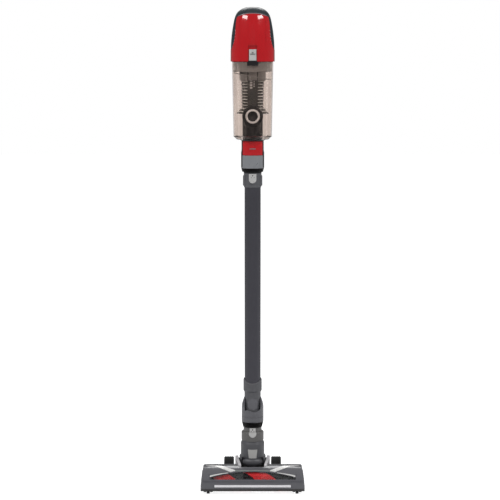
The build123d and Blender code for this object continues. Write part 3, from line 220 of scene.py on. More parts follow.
# %% Mould grain
# The fine noise is the height of the grain, the broad one is the faint mottle of the colour.
grain, g_in, g_out = new_group(
    "Mould Grain", [("Grain Size mm", 0.6), ("Depth", 1.0)], ["Height", "Mottle"]
)
g_place = grain.nodes.new("ShaderNodeTexCoord")
g_scale = math_node(grain, "DIVIDE", 1000.0, g_in.outputs["Grain Size mm"])
g_fine = grain.nodes.new("ShaderNodeTexNoise")
g_fine.inputs["Detail"].default_value = 3.0
g_fine.inputs["Roughness"].default_value = 0.6
grain.links.new(g_place.outputs["Object"], g_fine.inputs["Vector"])
grain.links.new(g_scale, g_fine.inputs["Scale"])
g_broad = grain.nodes.new("ShaderNodeTexNoise")
g_broad.inputs["Scale"].default_value = 38.0
g_broad.inputs["Detail"].default_value = 2.0
grain.links.new(g_place.outputs["Object"], g_broad.inputs["Vector"])
g_height = math_node(grain, "MULTIPLY", g_fine.outputs["Fac"], g_in.outputs["Depth"])
grain.links.new(g_height, g_out.inputs["Height"])
grain.links.new(g_broad.outputs["Fac"], g_out.inputs["Mottle"])

# %% [markdown]
# ## Edges that have been rubbed, and painted edge highlights
# Hands and door frames touch edges first, so paint and gloss turn paler there. The same paler
# colour also paints the highlight that edges catch. The group compares the normal at a point
# with a softened one, and the difference marks the edges.


# %% Rubbed edges
# The Bevel node gives the normal that a rounded edge would have. Where it differs from the
# true normal we are near an edge, and a noise breaks the line up as real rubbing does.
# The mask paints edges paler: partly rubbed wear, partly a painted highlight where edges catch light.
edge_wear_and_highlight, w_in, w_out = new_group("Rubbed And Highlit Edges", [("Radius", 0.0006), ("Amount", 0.5)], ["Mask"])
w_soft = edge_wear_and_highlight.nodes.new("ShaderNodeBevel")
w_soft.samples = 4
edge_wear_and_highlight.links.new(w_in.outputs["Radius"], w_soft.inputs["Radius"])
w_true = edge_wear_and_highlight.nodes.new("ShaderNodeNewGeometry")
w_dot = edge_wear_and_highlight.nodes.new("ShaderNodeVectorMath")
w_dot.operation = "DOT_PRODUCT"
edge_wear_and_highlight.links.new(w_soft.outputs["Normal"], w_dot.inputs[0])
edge_wear_and_highlight.links.new(w_true.outputs["Normal"], w_dot.inputs[1])
w_edge = math_node(edge_wear_and_highlight, "SUBTRACT", 1.0, w_dot.outputs["Value"])
w_edge = math_node(edge_wear_and_highlight, "MULTIPLY", w_edge, 9.0, clamp=True)
w_place = edge_wear_and_highlight.nodes.new("ShaderNodeTexCoord")
w_break = edge_wear_and_highlight.nodes.new("ShaderNodeTexNoise")
w_break.inputs["Scale"].default_value = 260.0
w_break.inputs["Detail"].default_value = 4.0
edge_wear_and_highlight.links.new(w_place.outputs["Object"], w_break.inputs["Vector"])
w_part = math_node(edge_wear_and_highlight, "MULTIPLY", w_edge, w_break.outputs["Fac"])
w_part = math_node(edge_wear_and_highlight, "MULTIPLY", w_part, w_in.outputs["Amount"], clamp=True)
edge_wear_and_highlight.links.new(w_part, w_out.inputs["Mask"])

# %% [markdown]
# ## Marks of handling
# Fingers leave smears that are duller than the surface, and they come in patches. The group
# slides the roughness between a shiniest and a dullest value, and puts out that roughness.


# %% Handling marks
# Fingers and cloths leave a soft patchwork of slightly duller and shinier areas.
marks, m_in, m_out = new_group("Handling Marks", [("Shiniest", 0.2), ("Dullest", 0.35)], ["Roughness"])
m_place = marks.nodes.new("ShaderNodeTexCoord")
m_patch = marks.nodes.new("ShaderNodeTexNoise")
m_patch.inputs["Scale"].default_value = 55.0
m_patch.inputs["Detail"].default_value = 5.0
m_patch.inputs["Roughness"].default_value = 0.62
m_patch.inputs["Distortion"].default_value = 0.6
marks.links.new(m_place.outputs["Object"], m_patch.inputs["Vector"])
m_range = marks.nodes.new("ShaderNodeMapRange")
m_range.inputs["From Min"].default_value = 0.32
m_range.inputs["From Max"].default_value = 0.68
marks.links.new(m_patch.outputs["Fac"], m_range.inputs["Value"])
marks.links.new(m_in.outputs["Shiniest"], m_range.inputs["To Min"])
marks.links.new(m_in.outputs["Dullest"], m_range.inputs["To Max"])
marks.links.new(m_range.outputs["Result"], m_out.inputs["Roughness"])

# %% [markdown]
# ## Dust that has settled
# Dust lies on what faces up and hardly on walls. The group takes the upward part of the
# normal, breaks it up with noise and gives a mask for the dust colour.


# %% Settled dust
# Dust lies on what faces up, thinly and in specks.
dust, d_in, d_out = new_group("Settled Dust", [("Amount", 0.2)], ["Mask"])
d_true = dust.nodes.new("ShaderNodeNewGeometry")
d_split = dust.nodes.new("ShaderNodeSeparateXYZ")
dust.links.new(d_true.outputs["Normal"], d_split.inputs[0])
d_up = math_node(dust, "MAXIMUM", d_split.outputs["Z"], 0.0)
d_up = math_node(dust, "POWER", d_up, 2.0)
d_place = dust.nodes.new("ShaderNodeTexCoord")
d_specks = dust.nodes.new("ShaderNodeTexNoise")
d_specks.inputs["Scale"].default_value = 700.0
d_specks.inputs["Detail"].default_value = 3.0
dust.links.new(d_place.outputs["Object"], d_specks.inputs["Vector"])
d_mask = math_node(dust, "MULTIPLY", d_up, d_specks.outputs["Fac"])
d_mask = math_node(dust, "MULTIPLY", d_mask, d_in.outputs["Amount"], clamp=True)
dust.links.new(d_mask, d_out.inputs["Mask"])
print("groups", [g.name for g in bpy.data.node_groups])

# %% [markdown]
# ## One recipe for a moulded finish
# Base colour, a second tone for mottling, a paler edge (rubbed wear and a painted edge
# highlight) and a film of dust are mixed in that order. Roughness comes from the handling marks
# and the height from the grain. Plain numbers, such as the coat or the index of refraction, go
# straight onto the shader's sockets.


# %% Moulded finish
def mix_colour(tree, mask, a, b):
    """Colour a where the mask is 0, colour b where it is 1."""
    node = tree.nodes.new("ShaderNodeMix")
    node.data_type = "RGBA"
    for socket, value in ((node.inputs["Factor"], mask), (node.inputs[6], a), (node.inputs[7], b)):
        if isinstance(value, (tuple, float, int)):
            socket.default_value = (*value, 1) if isinstance(value, tuple) else value
        else:
            tree.links.new(value, socket)
    return node.outputs[2]


def place_group(tree, group, **values):
    """A group node in this tree with its own values."""
    node = tree.nodes.new("ShaderNodeGroup")
    node.node_tree = group
    for label, value in values.items():
        node.inputs[label.replace("_", " ")].default_value = value
    return node


def moulded(
    name,
    colour,
    second=None,
    rubbed_and_highlit=None,
    shiniest=0.3,
    dullest=0.45,
    grain_mm=0.6,
    grain_depth=0.25,
    edge_radius=0.0006,
    edge_amount=0.5,
    dust_amount=0.12,
    metallic=0.0,
    coat=0.0,
    coat_roughness=0.05,
    transmission=0.0,
    ior=1.5,
):
    """A plastic, painted, rubber or metal finish with grain, paler edges (rubbed wear and a painted
    highlight), marks and dust.
    """
    finish = bpy.data.materials.new(name)
    finish.use_nodes = True
    tree = finish.node_tree
    tree.nodes.clear()
    target = tree.nodes.new("ShaderNodeOutputMaterial")
    shader = tree.nodes.new("ShaderNodeBsdfPrincipled")
    tree.links.new(shader.outputs[0], target.inputs["Surface"])
    second = second or tuple(c * 0.8 for c in colour)
    # Paler edge colour: partly rubbed wear, partly a painted edge highlight.
    rubbed_and_highlit = rubbed_and_highlit or tuple(min(1.0, c * 1.9 + 0.03) for c in colour)
    texture = place_group(tree, grain, Grain_Size_mm=grain_mm, Depth=1.0)
    tone = mix_colour(tree, texture.outputs["Mottle"], colour, second)
    edges = place_group(tree, edge_wear_and_highlight, Radius=edge_radius, Amount=edge_amount)
    tone = mix_colour(tree, edges.outputs["Mask"], tone, rubbed_and_highlit)
    film = place_group(tree, dust, Amount=dust_amount)
    tone = mix_colour(tree, film.outputs["Mask"], tone, (0.62, 0.60, 0.57))
    tree.links.new(tone, shader.inputs["Base Color"])
    touch = place_group(tree, marks, Shiniest=shiniest, Dullest=dullest)
    tree.links.new(touch.outputs["Roughness"], shader.inputs["Roughness"])
    bump = tree.nodes.new("ShaderNodeBump")
    bump.inputs["Strength"].default_value = grain_depth
    bump.inputs["Distance"].default_value = 0.0003
    tree.links.new(texture.outputs["Height"], bump.inputs["Height"])
    tree.links.new(bump.outputs["Normal"], shader.inputs["Normal"])
    shader.inputs["Metallic"].default_value = metallic
    shader.inputs["Coat Weight"].default_value = coat
    shader.inputs["Coat Roughness"].default_value = coat_roughness
    shader.inputs["Transmission Weight"].default_value = transmission
    shader.inputs["IOR"].default_value = ior
    return finish


# %% [markdown]
# ## The finishes, one per real material
# The shells are two dark plastics, one neutral and one blue-grey with more gloss. The red is
# pigmented plastic under a clear gloss, so it gets a coat. The tube is metal under a grey
# paint, and the latches are plastic with silver paint.

# %% Plastics and paints
charcoal = moulded("charcoal_shell", (0.112, 0.112, 0.122), shiniest=0.30, dullest=0.44, grain_depth=0.3)
dark_top = moulded("blue_black_shell", (0.017, 0.028, 0.035), shiniest=0.24, dullest=0.36, grain_depth=0.2)
blue_grey = moulded(
    "blue_grey_gloss", (0.118, 0.117, 0.132),
    shiniest=0.12, dullest=0.22, grain_depth=0.08, coat=0.6,
)
# A darker copy of the charcoal for the head's base, painting the shade under the head.
sole_painted_shade_grey = moulded("sole_painted_shade_grey", (0.060, 0.058, 0.059), shiniest=0.34, dullest=0.48, grain_depth=0.3)
warm_grey = moulded("warm_grey_collar", (0.150, 0.145, 0.142), shiniest=0.26, dullest=0.4, grain_depth=0.2)
black = moulded("black_moulding", (0.012, 0.011, 0.013), shiniest=0.28, dullest=0.42, grain_depth=0.25)
red_gloss = moulded(
    "red_gloss_shell", (0.54, 0.005, 0.010), (0.49, 0.004, 0.009), (0.72, 0.10, 0.09),
    shiniest=0.10, dullest=0.16, grain_mm=1.8, grain_depth=0.03, edge_amount=0.35,
    dust_amount=0.05, coat=1.0, coat_roughness=0.04,
)
silver = moulded(
    "silver_paint", (0.62, 0.61, 0.60), (0.57, 0.56, 0.55), (0.88, 0.87, 0.86),
    shiniest=0.26, dullest=0.38, grain_mm=0.25, grain_depth=0.1, metallic=0.2, coat=0.3,
)
dark_silver = moulded(
    "dark_silver_paint", (0.36, 0.37, 0.39), (0.31, 0.32, 0.34), (0.5, 0.5, 0.52),
    shiniest=0.26, dullest=0.38, grain_mm=0.25, grain_depth=0.1, metallic=0.45, coat=0.3,
)
pale = moulded(
    "pale_moulding", (0.52, 0.51, 0.50), (0.46, 0.45, 0.43), (0.7, 0.69, 0.67),
    shiniest=0.34, dullest=0.5, grain_depth=0.15,
)
lilac_white = moulded(
    "white_hinge_cover", (0.70, 0.68, 0.70), (0.64, 0.62, 0.64), (0.8, 0.79, 0.82),
    shiniest=0.2, dullest=0.32, grain_depth=0.1, coat=0.4,
)
tube_paint = moulded(
    "grey_tube_paint", (0.088, 0.086, 0.102), (0.078, 0.076, 0.090), (0.3, 0.3, 0.32),
    shiniest=0.30, dullest=0.38, grain_mm=0.35, grain_depth=0.12, metallic=0.55, dust_amount=0.0,
)
column_plastic = moulded(
    "column_plastic", (0.56, 0.56, 0.54), (0.49, 0.49, 0.47), (0.62, 0.62, 0.60),
    shiniest=0.16, dullest=0.28, grain_depth=0.1, coat=0.3,
)
filter_plastic = moulded("filter_drum", (0.38, 0.37, 0.36), shiniest=0.3, dullest=0.4, grain_depth=0.15)
bright = moulded(
    "polished_ring", (0.99, 0.99, 0.99), (0.98, 0.98, 0.98), (0.99, 0.99, 0.99),
    shiniest=0.10, dullest=0.2, grain_depth=0.02, coat=1.0, dust_amount=0.0,
)
steel = moulded(
    "plain_steel", (0.52, 0.52, 0.54), (0.44, 0.44, 0.46), (0.7, 0.7, 0.72),
    shiniest=0.24, dullest=0.4, grain_mm=0.2, grain_depth=0.15, metallic=1.0,
)
cell_wrap = moulded("cell_wrap", (0.10, 0.34, 0.28), shiniest=0.2, dullest=0.3, grain_depth=0.05)
fan_metal = moulded(
    "machined_fan", (0.62, 0.63, 0.65), (0.55, 0.56, 0.58), (0.8, 0.8, 0.82),
    shiniest=0.2, dullest=0.34, grain_mm=0.15, grain_depth=0.2, metallic=1.0,
)
board_green = moulded("circuit_board", (0.015, 0.16, 0.06), (0.012, 0.12, 0.05), shiniest=0.25, dullest=0.4)
lens_white = moulded(
    "frosted_lens", (0.96, 0.94, 0.97), (0.93, 0.91, 0.94), (0.92, 0.92, 0.94),
    shiniest=0.22, dullest=0.32, grain_mm=0.5, grain_depth=0.1, coat=0.5, dust_amount=0.05,
)
print("plastics and paints ready")

# %% [markdown]
# ## Painted shade on the column, and a darker lip on the bands
# The column has pale ribs, and the gaps between them are painted dark as the shade that falls
# there; one smooth strip down its front is darkened too. The head's silver bands join in a duller
# lip at the middle. Both are masks worked out from a point's place in the object, laid over the
# finish that is already there.


# %% Masks by place
def object_place(tree):
    """The X, Y and Z of the point being shaded, in the object's own metres."""
    place = tree.nodes.new("ShaderNodeTexCoord")
    split = tree.nodes.new("ShaderNodeSeparateXYZ")
    tree.links.new(place.outputs["Object"], split.inputs[0])
    return split.outputs["X"], split.outputs["Y"], split.outputs["Z"]


def paint_over(finish, mask, colour):
    """Lays a colour over the finish's own colour wherever the mask is 1."""
    tree = finish.node_tree
    target = tree.nodes["Principled BSDF"].inputs["Base Color"]
    tone = target.links[0].from_socket
    tree.links.new(mix_colour(tree, mask, tone, colour), target)


RIB_PITCH = 6.8 * MM
FIRST_RIB = 16.3 * MM
RIB_CENTRE, RIB_HALF, RIB_EDGE = 0.37, 0.16, 9.0
STRIP_HALF = 11.6 * MM
STRIP_FRONT = -24 * MM
LIP_HALF = 40 * MM
# Painted shade for the gaps between the ribs; the same colour darkens the column's front strip.
RIB_SHADE_AND_STRIP_COLOUR = (0.030, 0.029, 0.026)
LIP_COLOUR = (0.24, 0.27, 0.25)


def shade_rib_gaps_and_strip(finish, first_rib):
    """Paints shade into the gaps between the ribs, and darkens the smooth strip down the column's front."""
    tree = finish.node_tree
    x, y, z = object_place(tree)
    height = math_node(tree, "SUBTRACT", z, first_rib)
    beat = math_node(tree, "FRACT", math_node(tree, "DIVIDE", height, RIB_PITCH))
    gap = math_node(tree, "ABSOLUTE", math_node(tree, "SUBTRACT", beat, RIB_CENTRE))
    gap = math_node(tree, "SUBTRACT", gap, RIB_HALF)
    gap = math_node(tree, "MULTIPLY", gap, RIB_EDGE, clamp=True)
    strip = math_node(tree, "LESS_THAN", math_node(tree, "ABSOLUTE", x), STRIP_HALF)
    ahead = math_node(tree, "LESS_THAN", y, STRIP_FRONT)
    dark = math_node(tree, "MAXIMUM", gap, math_node(tree, "MULTIPLY", strip, ahead))
    paint_over(finish, dark, RIB_SHADE_AND_STRIP_COLOUR)


def dull_the_lip(finish):
    """Gives the middle of the head's bands a darker, greener grey."""
    tree = finish.node_tree
    x, y, z = object_place(tree)
    lip = math_node(tree, "LESS_THAN", math_node(tree, "ABSOLUTE", x), LIP_HALF)
    paint_over(finish, lip, LIP_COLOUR)


band_paint = moulded(
    "band_paint", (0.86, 0.85, 0.83), (0.80, 0.79, 0.77), (0.92, 0.91, 0.90),
    shiniest=0.22, dullest=0.32, grain_mm=0.25, grain_depth=0.08, metallic=0.15, coat=0.4,
)
shade_rib_gaps_and_strip(column_plastic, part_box("separator")[0].z + FIRST_RIB)
dull_the_lip(band_paint)
print("column and bands painted")

# %% [markdown]
# ## Rubber, foam and clear plastic
# Rubber is darker and duller than the shells, with a coarser skin. The cup is a smoky brown
# plastic: full transmission with a tint on the base colour gives the beige look over white.

# %% Rubber and foam
rubber = moulded(
    "black_rubber", (0.016, 0.016, 0.016), (0.012, 0.012, 0.012), (0.06, 0.06, 0.06),
    shiniest=0.5, dullest=0.7, grain_mm=0.8, grain_depth=0.45, dust_amount=0.2,
)
tyre = moulded(
    "tyre_rubber", (0.010, 0.010, 0.0105), (0.007, 0.007, 0.0075), (0.04, 0.04, 0.04),
    shiniest=0.6, dullest=0.8, grain_mm=0.7, grain_depth=0.5, dust_amount=0.04,
)
foam = moulded(
    "filter_foam", (0.07, 0.07, 0.07), (0.04, 0.04, 0.04), (0.1, 0.1, 0.1),
    shiniest=0.8, dullest=0.95, grain_mm=1.4, grain_depth=1.0, edge_amount=0.1,
)

# %% [markdown]
# ## Clear plastics
# The cup is a smoky brown moulding and the head's window a nearly colourless one. Both let
# all light through and are tinted by the base colour, since the tint is in the plastic.


# %% Clear plastics
def clear(name, tint, second, shiniest, dullest, ior=1.46):
    """Clear moulding: light passes through and takes the tint at each wall."""
    finish = bpy.data.materials.new(name)
    finish.use_nodes = True
    tree = finish.node_tree
    tree.nodes.clear()
    target = tree.nodes.new("ShaderNodeOutputMaterial")
    shader = tree.nodes.new("ShaderNodeBsdfPrincipled")
    tree.links.new(shader.outputs[0], target.inputs["Surface"])
    texture = place_group(tree, grain, Grain_Size_mm=3.0, Depth=1.0)
    tree.links.new(mix_colour(tree, texture.outputs["Mottle"], tint, second), shader.inputs["Base Color"])
    touch = place_group(tree, marks, Shiniest=shiniest, Dullest=dullest)
    tree.links.new(touch.outputs["Roughness"], shader.inputs["Roughness"])
    shader.inputs["Transmission Weight"].default_value = 1.0
    shader.inputs["Metallic"].default_value = 0.0
    shader.inputs["IOR"].default_value = ior
    return finish


smoky = clear("smoky_cup", (0.76, 0.69, 0.65), (0.73, 0.66, 0.62), 0.01, 0.04, 1.25)
window_clear = clear("clear_window", (0.90, 0.92, 0.92), (0.88, 0.90, 0.90), 0.02, 0.05, 1.35)
print("clear plastics ready")

# %% [markdown]
# ## Dressing the solids
# The record names a finish slot for every solid. We keep those names and give each node its
# finish here, with a few exceptions where the same plastic is moulded in another shade. The
# head's base gets a darker copy of the charcoal, which paints the shade under the head.

# %% Finish for every node
FINISH_OF_SLOT = {
    "charcoal_plastic": charcoal,
    "blue_grey_plastic": blue_grey,
    "black_plastic": black,
    "red_gloss": red_gloss,
    "silver_plastic": silver,
    "pale_plastic": pale,
    "smoky_clear": smoky,
    "clear_window": window_clear,
    "grey_tube": tube_paint,
    "bright_ring": bright,
    "rubber": rubber,
    "tyre_rubber": tyre,
    "bristle": rubber,
    "pile": red_gloss,
    "foam": foam,
    "steel": steel,
    "cell_wrap": cell_wrap,
    "fan_metal": fan_metal,
    "board_green": board_green,
    "lens_white": lens_white,
}
FINISH_OF_NODE = {
    # The darker copy paints the shade under the head.
    "head_base": sole_painted_shade_grey,
    "rear_housing": dark_top,
    "handle": dark_top,
    "battery_case": dark_top,
    "battery_lid": dark_top,
    "hinge_cheeks": lilac_white,
    "separator": column_plastic,
    "trim_bands": band_paint,
    "cyclone_ramp": filter_plastic,
    "filter_housing": filter_plastic,
    "hand_brush_slider": dark_silver,
    "swivel_socket": warm_grey,
}
for part in frame["record"]["subparts"]:
    node = nodes[part["node"]]
    finish = FINISH_OF_NODE.get(part["node"], FINISH_OF_SLOT[part["material_slot"]])
    if len(node.data.materials) == 0:
        node.data.materials.append(finish)
    for place in range(len(node.data.materials)):
        node.data.materials[place] = finish

# %% [markdown]
# ## Bristles
# A dusting brush is a ring of many thin hairs, which no solid can show. Each hair is a narrow
# three-sided spike, cut off at the tip. A ring has 1500 of them in one mesh, which costs little.


# %% Hair helper
def add_piece(name, mesh, body, finish):
    """Puts a mesh in the scene as a piece that rides on a body."""
    piece = bpy.data.objects.new(name, mesh)
    bpy.context.scene.collection.objects.link(piece)
    if finish is not None:
        mesh.materials.append(finish)
    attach(piece, body)
    return piece


def hairs(name, roots, tips, thick, body, finish):
    """Many tapering hairs as one mesh."""
    roots = np.asarray(roots, float)
    tips = np.asarray(tips, float)
    along = tips - roots
    along /= np.linalg.norm(along, axis=1)[:, None]
    helper = np.where(np.abs(along[:, 2:3]) < 0.9, [[0.0, 0.0, 1.0]], [[1.0, 0.0, 0.0]])
    side = np.cross(along, helper)
    side /= np.linalg.norm(side, axis=1)[:, None]
    other = np.cross(along, side)
    points = []
    for corner in range(3):
        turn = corner * 2 * math.pi / 3
        points.append(roots + thick * (math.cos(turn) * side + math.sin(turn) * other))
    for corner in range(3):
        turn = corner * 2 * math.pi / 3
        points.append(tips + 0.35 * thick * (math.cos(turn) * side + math.sin(turn) * other))
    count = len(roots)
    verts = np.concatenate(points)
    faces = []
    for i in range(count):
        a = [i + count * c for c in range(6)]
        faces += [(a[0], a[1], a[4], a[3]), (a[1], a[2], a[5], a[4]), (a[2], a[0], a[3], a[5])]
        faces.append((a[3], a[4], a[5]))
    mesh = bpy.data.meshes.new(name)
    mesh.from_pydata(verts.tolist(), [], faces)
    mesh.update()
    return add_piece(name, mesh, body, finish)


bristle_black = moulded(
    "nylon_bristle", (0.012, 0.011, 0.012), (0.02, 0.018, 0.018), (0.04, 0.04, 0.04),
    shiniest=0.32, dullest=0.5, grain_depth=0.1, edge_amount=0.0, dust_amount=0.15,
)

# %% [markdown]
# ## The two dusting rings
# The wand and the nozzle each carry a ring of black nylon hairs. The roots are scattered
# over the ring and the tips lean in a little, with small random turns so that none line up.


# %% Rings of bristles
def bristle_ring(name, node, body, inner, lean, count):
    """A ring of hairs in the space the node holds, leaning in to the tips."""
    lo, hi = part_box(node)
    outer = (hi.x - lo.x) / 2
    turn = rng.uniform(0, 2 * math.pi, count)
    share = rng.uniform(0, 1, count) ** 0.5
    radius = inner + 0.0004 + share * (outer - inner - 0.0008)
    tip_radius = np.clip(radius - lean * share, inner + 0.0003, None)
    top = np.full(count, hi.z)
    low = lo.z + rng.uniform(0.0, 0.0012, count)
    spin = rng.normal(0, 0.02, count)
    roots = np.stack([radius * np.cos(turn), radius * np.sin(turn), top], 1)
    tips = np.stack([tip_radius * np.cos(turn + spin), tip_radius * np.sin(turn + spin), low], 1)
    ring = hairs(name, roots, tips, 0.00028, body, bristle_black)
    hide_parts(node)
    return ring


bristle_ring("wand_bristle_ring", "wand_bristles", "wand_brush", 0.0213, 0.0028, 1500)
bristle_ring("nozzle_bristle_ring", "hand_bristles", "nozzle_brush", 0.0226, 0.0022, 1500)
print("bristle rings ready")

# %% [markdown]
# ## The brush roll
# Behind the window turns a roll with soft red fibres in wide spirals and stiffer black rows
# between them. The fibres are hairs again, placed along a helix, with the colour chosen by the
# angle to the helix.

# %% Fibres of the roll
lo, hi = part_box("brush_pile")
roll_y, roll_z = (lo.y + hi.y) / 2, (lo.z + hi.z) / 2
roll_tip = (hi.z - lo.z) / 2
roll_root = 0.0132
fibre_red = moulded(
    "red_fibre", (0.85, 0.012, 0.016), (0.72, 0.008, 0.012), (0.7, 0.1, 0.1),
    shiniest=0.45, dullest=0.6, grain_depth=0.1, edge_amount=0.0, dust_amount=0.0,
)
TURNS = 1.02
START = 2.26
RED_PART = 1.63
FIBRES = 9000
FIBRE_THICK = 0.45 * MM
x = rng.uniform(lo.x + 0.0005, hi.x - 0.0005, FIBRES)
turn = rng.uniform(0, 2 * math.pi, FIBRES)
share = (x - lo.x) / (hi.x - lo.x)
phase = (turn - 2 * math.pi * TURNS * share + START) % math.pi
is_red = phase < RED_PART
length = np.where(is_red, roll_tip - 0.0004, roll_tip - 0.0034) - rng.uniform(0, 0.0006, FIBRES)
lean = rng.normal(0, 0.035, FIBRES) + 0.10
roots = np.stack([x, roll_y + roll_root * np.cos(turn), roll_z + roll_root * np.sin(turn)], 1)
ends = np.clip(x + rng.normal(0, 0.0006, FIBRES), lo.x, hi.x)
tips = [ends, roll_y + length * np.cos(turn + lean), roll_z + length * np.sin(turn + lean)]
tips = np.stack(tips, 1)

# %% [markdown]
# ## The bed of the pile
# Fibres alone let light through to the core, and the red would look thin. A solid bed just
# under the tips follows the same spirals: tall where the pile is red, lower where it is black.


# %% Bed
BED_END = 0.6 * MM
BED_RED_DROP = 1.2 * MM
BED_BLACK_DROP = 3.6 * MM


def joined_rings(rings, around):
    """Faces that join rings of points in order, with a cap on each end."""
    faces = []
    for i in range(rings - 1):
        for k in range(around):
            a, b = i * around + k, i * around + (k + 1) % around
            faces.append((a, b, b + around, a + around))
    faces.append(tuple(range(around))[::-1])
    faces.append(tuple(range((rings - 1) * around, rings * around)))
    return faces


def pile_bed(name, body, finish, steps=120, around=120):
    """The solid bed of the pile: full height along the red spirals, lower between them."""
    mesh = bpy.data.meshes.new(name)
    verts = []
    for i in range(steps + 1):
        along = i / steps
        across = lo.x + BED_END + (hi.x - lo.x - 2 * BED_END) * along
        for k in range(around):
            angle = 2 * math.pi * k / around
            where = (angle - 2 * math.pi * TURNS * along + START) % math.pi
            radius = roll_tip - (BED_RED_DROP if where < RED_PART else BED_BLACK_DROP)
            verts.append((across, roll_y + radius * math.cos(angle), roll_z + radius * math.sin(angle)))
    mesh.from_pydata(verts, [], joined_rings(steps + 1, around))
    mesh.update()
    return add_piece(name, mesh, body, finish)


def blacken_between(finish):
    """Paints the bed black between its red spirals."""
    tree = finish.node_tree
    x, y, z = object_place(tree)
    up = math_node(tree, "SUBTRACT", z, roll_z)
    front = math_node(tree, "SUBTRACT", y, roll_y)
    angle = math_node(tree, "ARCTAN2", up, front)
    along = math_node(tree, "SUBTRACT", x, lo.x)
    climb = math_node(tree, "MULTIPLY", along, 2 * math.pi * TURNS / (hi.x - lo.x))
    where = math_node(tree, "SUBTRACT", angle, climb)
    where = math_node(tree, "ADD", where, START + 4 * math.pi)
    where = math_node(tree, "FLOORED_MODULO", where, math.pi)
    paint_over(finish, math_node(tree, "GREATER_THAN", where, RED_PART), (0.012, 0.012, 0.013))


bed_finish = moulded(
    "pile_bed", (0.80, 0.012, 0.016), (0.68, 0.008, 0.012), (0.85, 0.05, 0.05),
    shiniest=0.6, dullest=0.8, grain_mm=0.5, grain_depth=0.6, edge_amount=0.0, dust_amount=0.0,
)
blacken_between(bed_finish)
pile_bed("roll_pile_bed", "brush_roll", bed_finish)
for name, chosen, finish in (
    ("roll_red_fibres", is_red, fibre_red),
    ("roll_black_fibres", ~is_red, bristle_black),
):
    tuft = hairs(name, roots[chosen], tips[chosen], FIBRE_THICK, "brush_roll", finish)
    if finish is fibre_red:
        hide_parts("brush_pile")
print("fibres", int(is_red.sum()), "red and", int((~is_red).sum()), "black")

# %% [markdown]
# ## A painted highlight under the crown
# Where the red shell meets the dark crown, a thin pale bead paints the highlight that the edge
# catches. We find the top edge of the red shell in its own mesh, then lay a fine tube along it.


# %% Tube helper and the lip
def tube(name, points, radius, body, finish, sides=8):
    """A round bead along a line of points."""
    mesh = bpy.data.meshes.new(name)
    verts = []
    for i, point in enumerate(points):
        ahead = (points[min(i + 1, len(points) - 1)] - points[max(i - 1, 0)]).normalized()
        side = ahead.cross(Vector((0, 1, 0))).normalized()
        other = ahead.cross(side)
        taper = min(1.0, 0.25 + min(i, len(points) - 1 - i) / 4)
        for k in range(sides):
            turn = 2 * math.pi * k / sides
            verts.append(point + radius * taper * (math.cos(turn) * side + math.sin(turn) * other))
    mesh.from_pydata([tuple(v) for v in verts], [], joined_rings(len(points), sides))
    mesh.update()
    for face in mesh.polygons:
        face.use_smooth = True
    return add_piece(name, mesh, body, finish)


def top_edge(node, half_width, steps):
    """The highest points of a node's front side, from left to right."""
    spots = [v.co.copy() for v in nodes[node].data.vertices if v.co.y < -0.018]
    line = []
    for step in range(steps + 1):
        x = -half_width + 2 * half_width * step / steps
        near = [c for c in spots if abs(c.x - x) < 2.2 * MM]
        if near:
            best = max(near, key=lambda c: c.z - 0.25 * abs(c.x - x) - 0.3 * c.y)
            line.append(Vector((x, best.y, best.z)))
    smooth = []
    for i in range(len(line)):
        part = line[max(0, i - 2) : i + 3]
        smooth.append(sum(part, Vector()) / len(part))
    return smooth


# Pale paint standing in for a highlight: the crown lip's painted highlight and the panel's bar.
highlight_bead_paint = moulded(
    "crown_highlight_bead", (0.36, 0.27, 0.29), (0.32, 0.24, 0.26), (0.6, 0.55, 0.55),
    shiniest=0.2, dullest=0.3, grain_depth=0.05, metallic=0.3, coat=0.5,
)
LIP_REACH = 34.5 * MM
LIP_STEPS = 36
LIP_RADIUS = 0.75 * MM
LIP_LIFT = Vector((0, -0.0002, 0.0004))
edge = [point + LIP_LIFT for point in top_edge("front_cover", LIP_REACH, LIP_STEPS)]
tube("crown_lip", edge, LIP_RADIUS, "motor_unit", highlight_bead_paint)
print("lip points", len(edge))

# %% [markdown]
# ## Small printed and moulded marks
# Buttons carry small signs that tell the user where to press. Thin plates, a fraction of a
# millimetre proud of the surface, catch the light as pad printing does.


# %% Marks
def plate(name, outline, y, thick, body, finish):
    """A thin flat plate facing the front, from (x, z) corners."""
    mesh = bpy.data.meshes.new(name)
    bm = bmesh.new()
    ring = [bm.verts.new((x, y, z)) for x, z in outline]
    face = bm.faces.new(ring)
    grown = bmesh.ops.extrude_face_region(bm, geom=[face])
    for vert in grown["geom"]:
        if isinstance(vert, bmesh.types.BMVert):
            vert.co.y -= thick
    bmesh.ops.recalc_face_normals(bm, faces=bm.faces)
    bm.to_mesh(mesh)
    bm.free()
    return add_piece(name, mesh, body, finish)


def block(x0, x1, z0, z1):
    """Corners of an upright rectangle."""
    return [(x0, z0), (x1, z0), (x1, z1), (x0, z1)]


def disc_outline(x, z, radius, count=20):
    """Corners of a round plate."""
    turns = [2 * math.pi * i / count for i in range(count)]
    return [(x + radius * math.cos(t), z + radius * math.sin(t)) for t in turns]


ink_dark = moulded("dark_ink", (0.03, 0.03, 0.032), shiniest=0.4, dullest=0.5, grain_depth=0.05)
ink_pale = moulded("pale_ink", (0.70, 0.70, 0.68), shiniest=0.4, dullest=0.5, grain_depth=0.05)
# %% [markdown]
# ## Signs on the two latches
# Each latch has a dark eye and a tick on either side of it. The upper latch is flat in front,
# while the lower one is stepped, so its marks sit on the step and not at its foremost face.

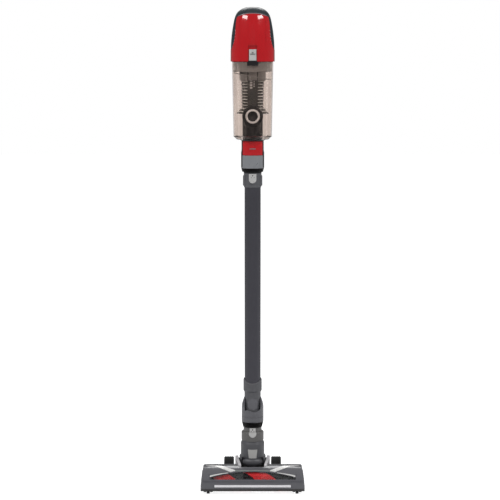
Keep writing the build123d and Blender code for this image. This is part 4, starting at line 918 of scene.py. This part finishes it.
# %% Latch signs
EYE_DOWN = 4.0 * MM
TICK_ASIDE = 3.2 * MM
STEP_EYE, STEP_TICK = -20.3 * MM, -20.7 * MM
top_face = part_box("handheld_latch")[0].y
for label, node, body, eye_y, tick_y in (
    ("neck_latch", "wand_latch", "neck_catch", STEP_EYE, STEP_TICK),
    ("top_latch", "handheld_latch", "wand_catch", top_face + 0.8 * MM, top_face + 0.6 * MM),
):
    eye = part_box(node)[1].z - EYE_DOWN
    eye_disc = disc_outline(0, eye, 1.4 * MM)
    plate(label + "_eye", eye_disc, eye_y, 0.0003, body, ink_dark)
    for k in (-1, 1):
        middle = k * TICK_ASIDE
        tick = block(middle - 0.0007, middle + 0.0007, eye - 0.0052, eye - 0.0028)
        plate(f"{label}_mark_{k + 2}", tick, tick_y, 0.0004, body, ink_dark)

# %% [markdown]
# ## Print on the column, and the bin latch
# The column carries two rows of plain pale bars where a maker would print words. The bin
# latch has a dark line for the thumb, an arrow above it and a black hook at its foot. The red
# panel of the nozzle has one raised bar, painted pale as a highlight.

# %% Column print, bin latch and panel
COLUMN_FACE = -29.05 * MM
column_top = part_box("separator")[1].z
# label, how many, left edge, right edge, first bar below the top, pitch and bar height
for label, count, x0, x1, first, pitch, tall in (
    ("column_mark", 5, -0.0060, -0.0008, 0.014, 0.0058, 0.0040),
    ("column_small", 4, 0.0022, 0.0042, 0.018, 0.0052, 0.0032),
):
    for k in range(count):
        z = column_top - first - pitch * k
        bar = block(x0, x1, z, z + tall)
        plate(f"{label}_{k}", bar, COLUMN_FACE, 0.0003, "dust_bin", ink_pale)
PROUD = 0.1 * MM
lo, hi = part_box("bin_latch")
hook = block(lo.x, hi.x, lo.z, lo.z + 0.0056)
thumb = block(-0.0058, 0.0058, hi.z - 0.0114, hi.z - 0.0100)
arrow = [(-0.0024, hi.z - 0.0086), (0.0024, hi.z - 0.0086), (0.0, hi.z - 0.0058)]
for name, outline, thick, finish in (
    ("latch_hook_face", hook, 0.0004, black),
    ("latch_thumb_line", thumb, 0.0003, ink_dark),
    ("latch_arrow", arrow, 0.0003, ink_dark),
):
    plate(name, outline, lo.y - PROUD, thick, "bin_slide", finish)
lo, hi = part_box("brush_release")
middle = (lo.z + hi.z) / 2 - 0.001
light_bar = block(-0.0070, 0.0070, middle - 0.0009, middle + 0.0009)
# The bar is painted with the pale highlight paint: a painted highlight on the red panel.
plate("panel_mark", light_bar, lo.y - PROUD, 0.0003, "nozzle_panel", highlight_bead_paint)
print("marks ready")
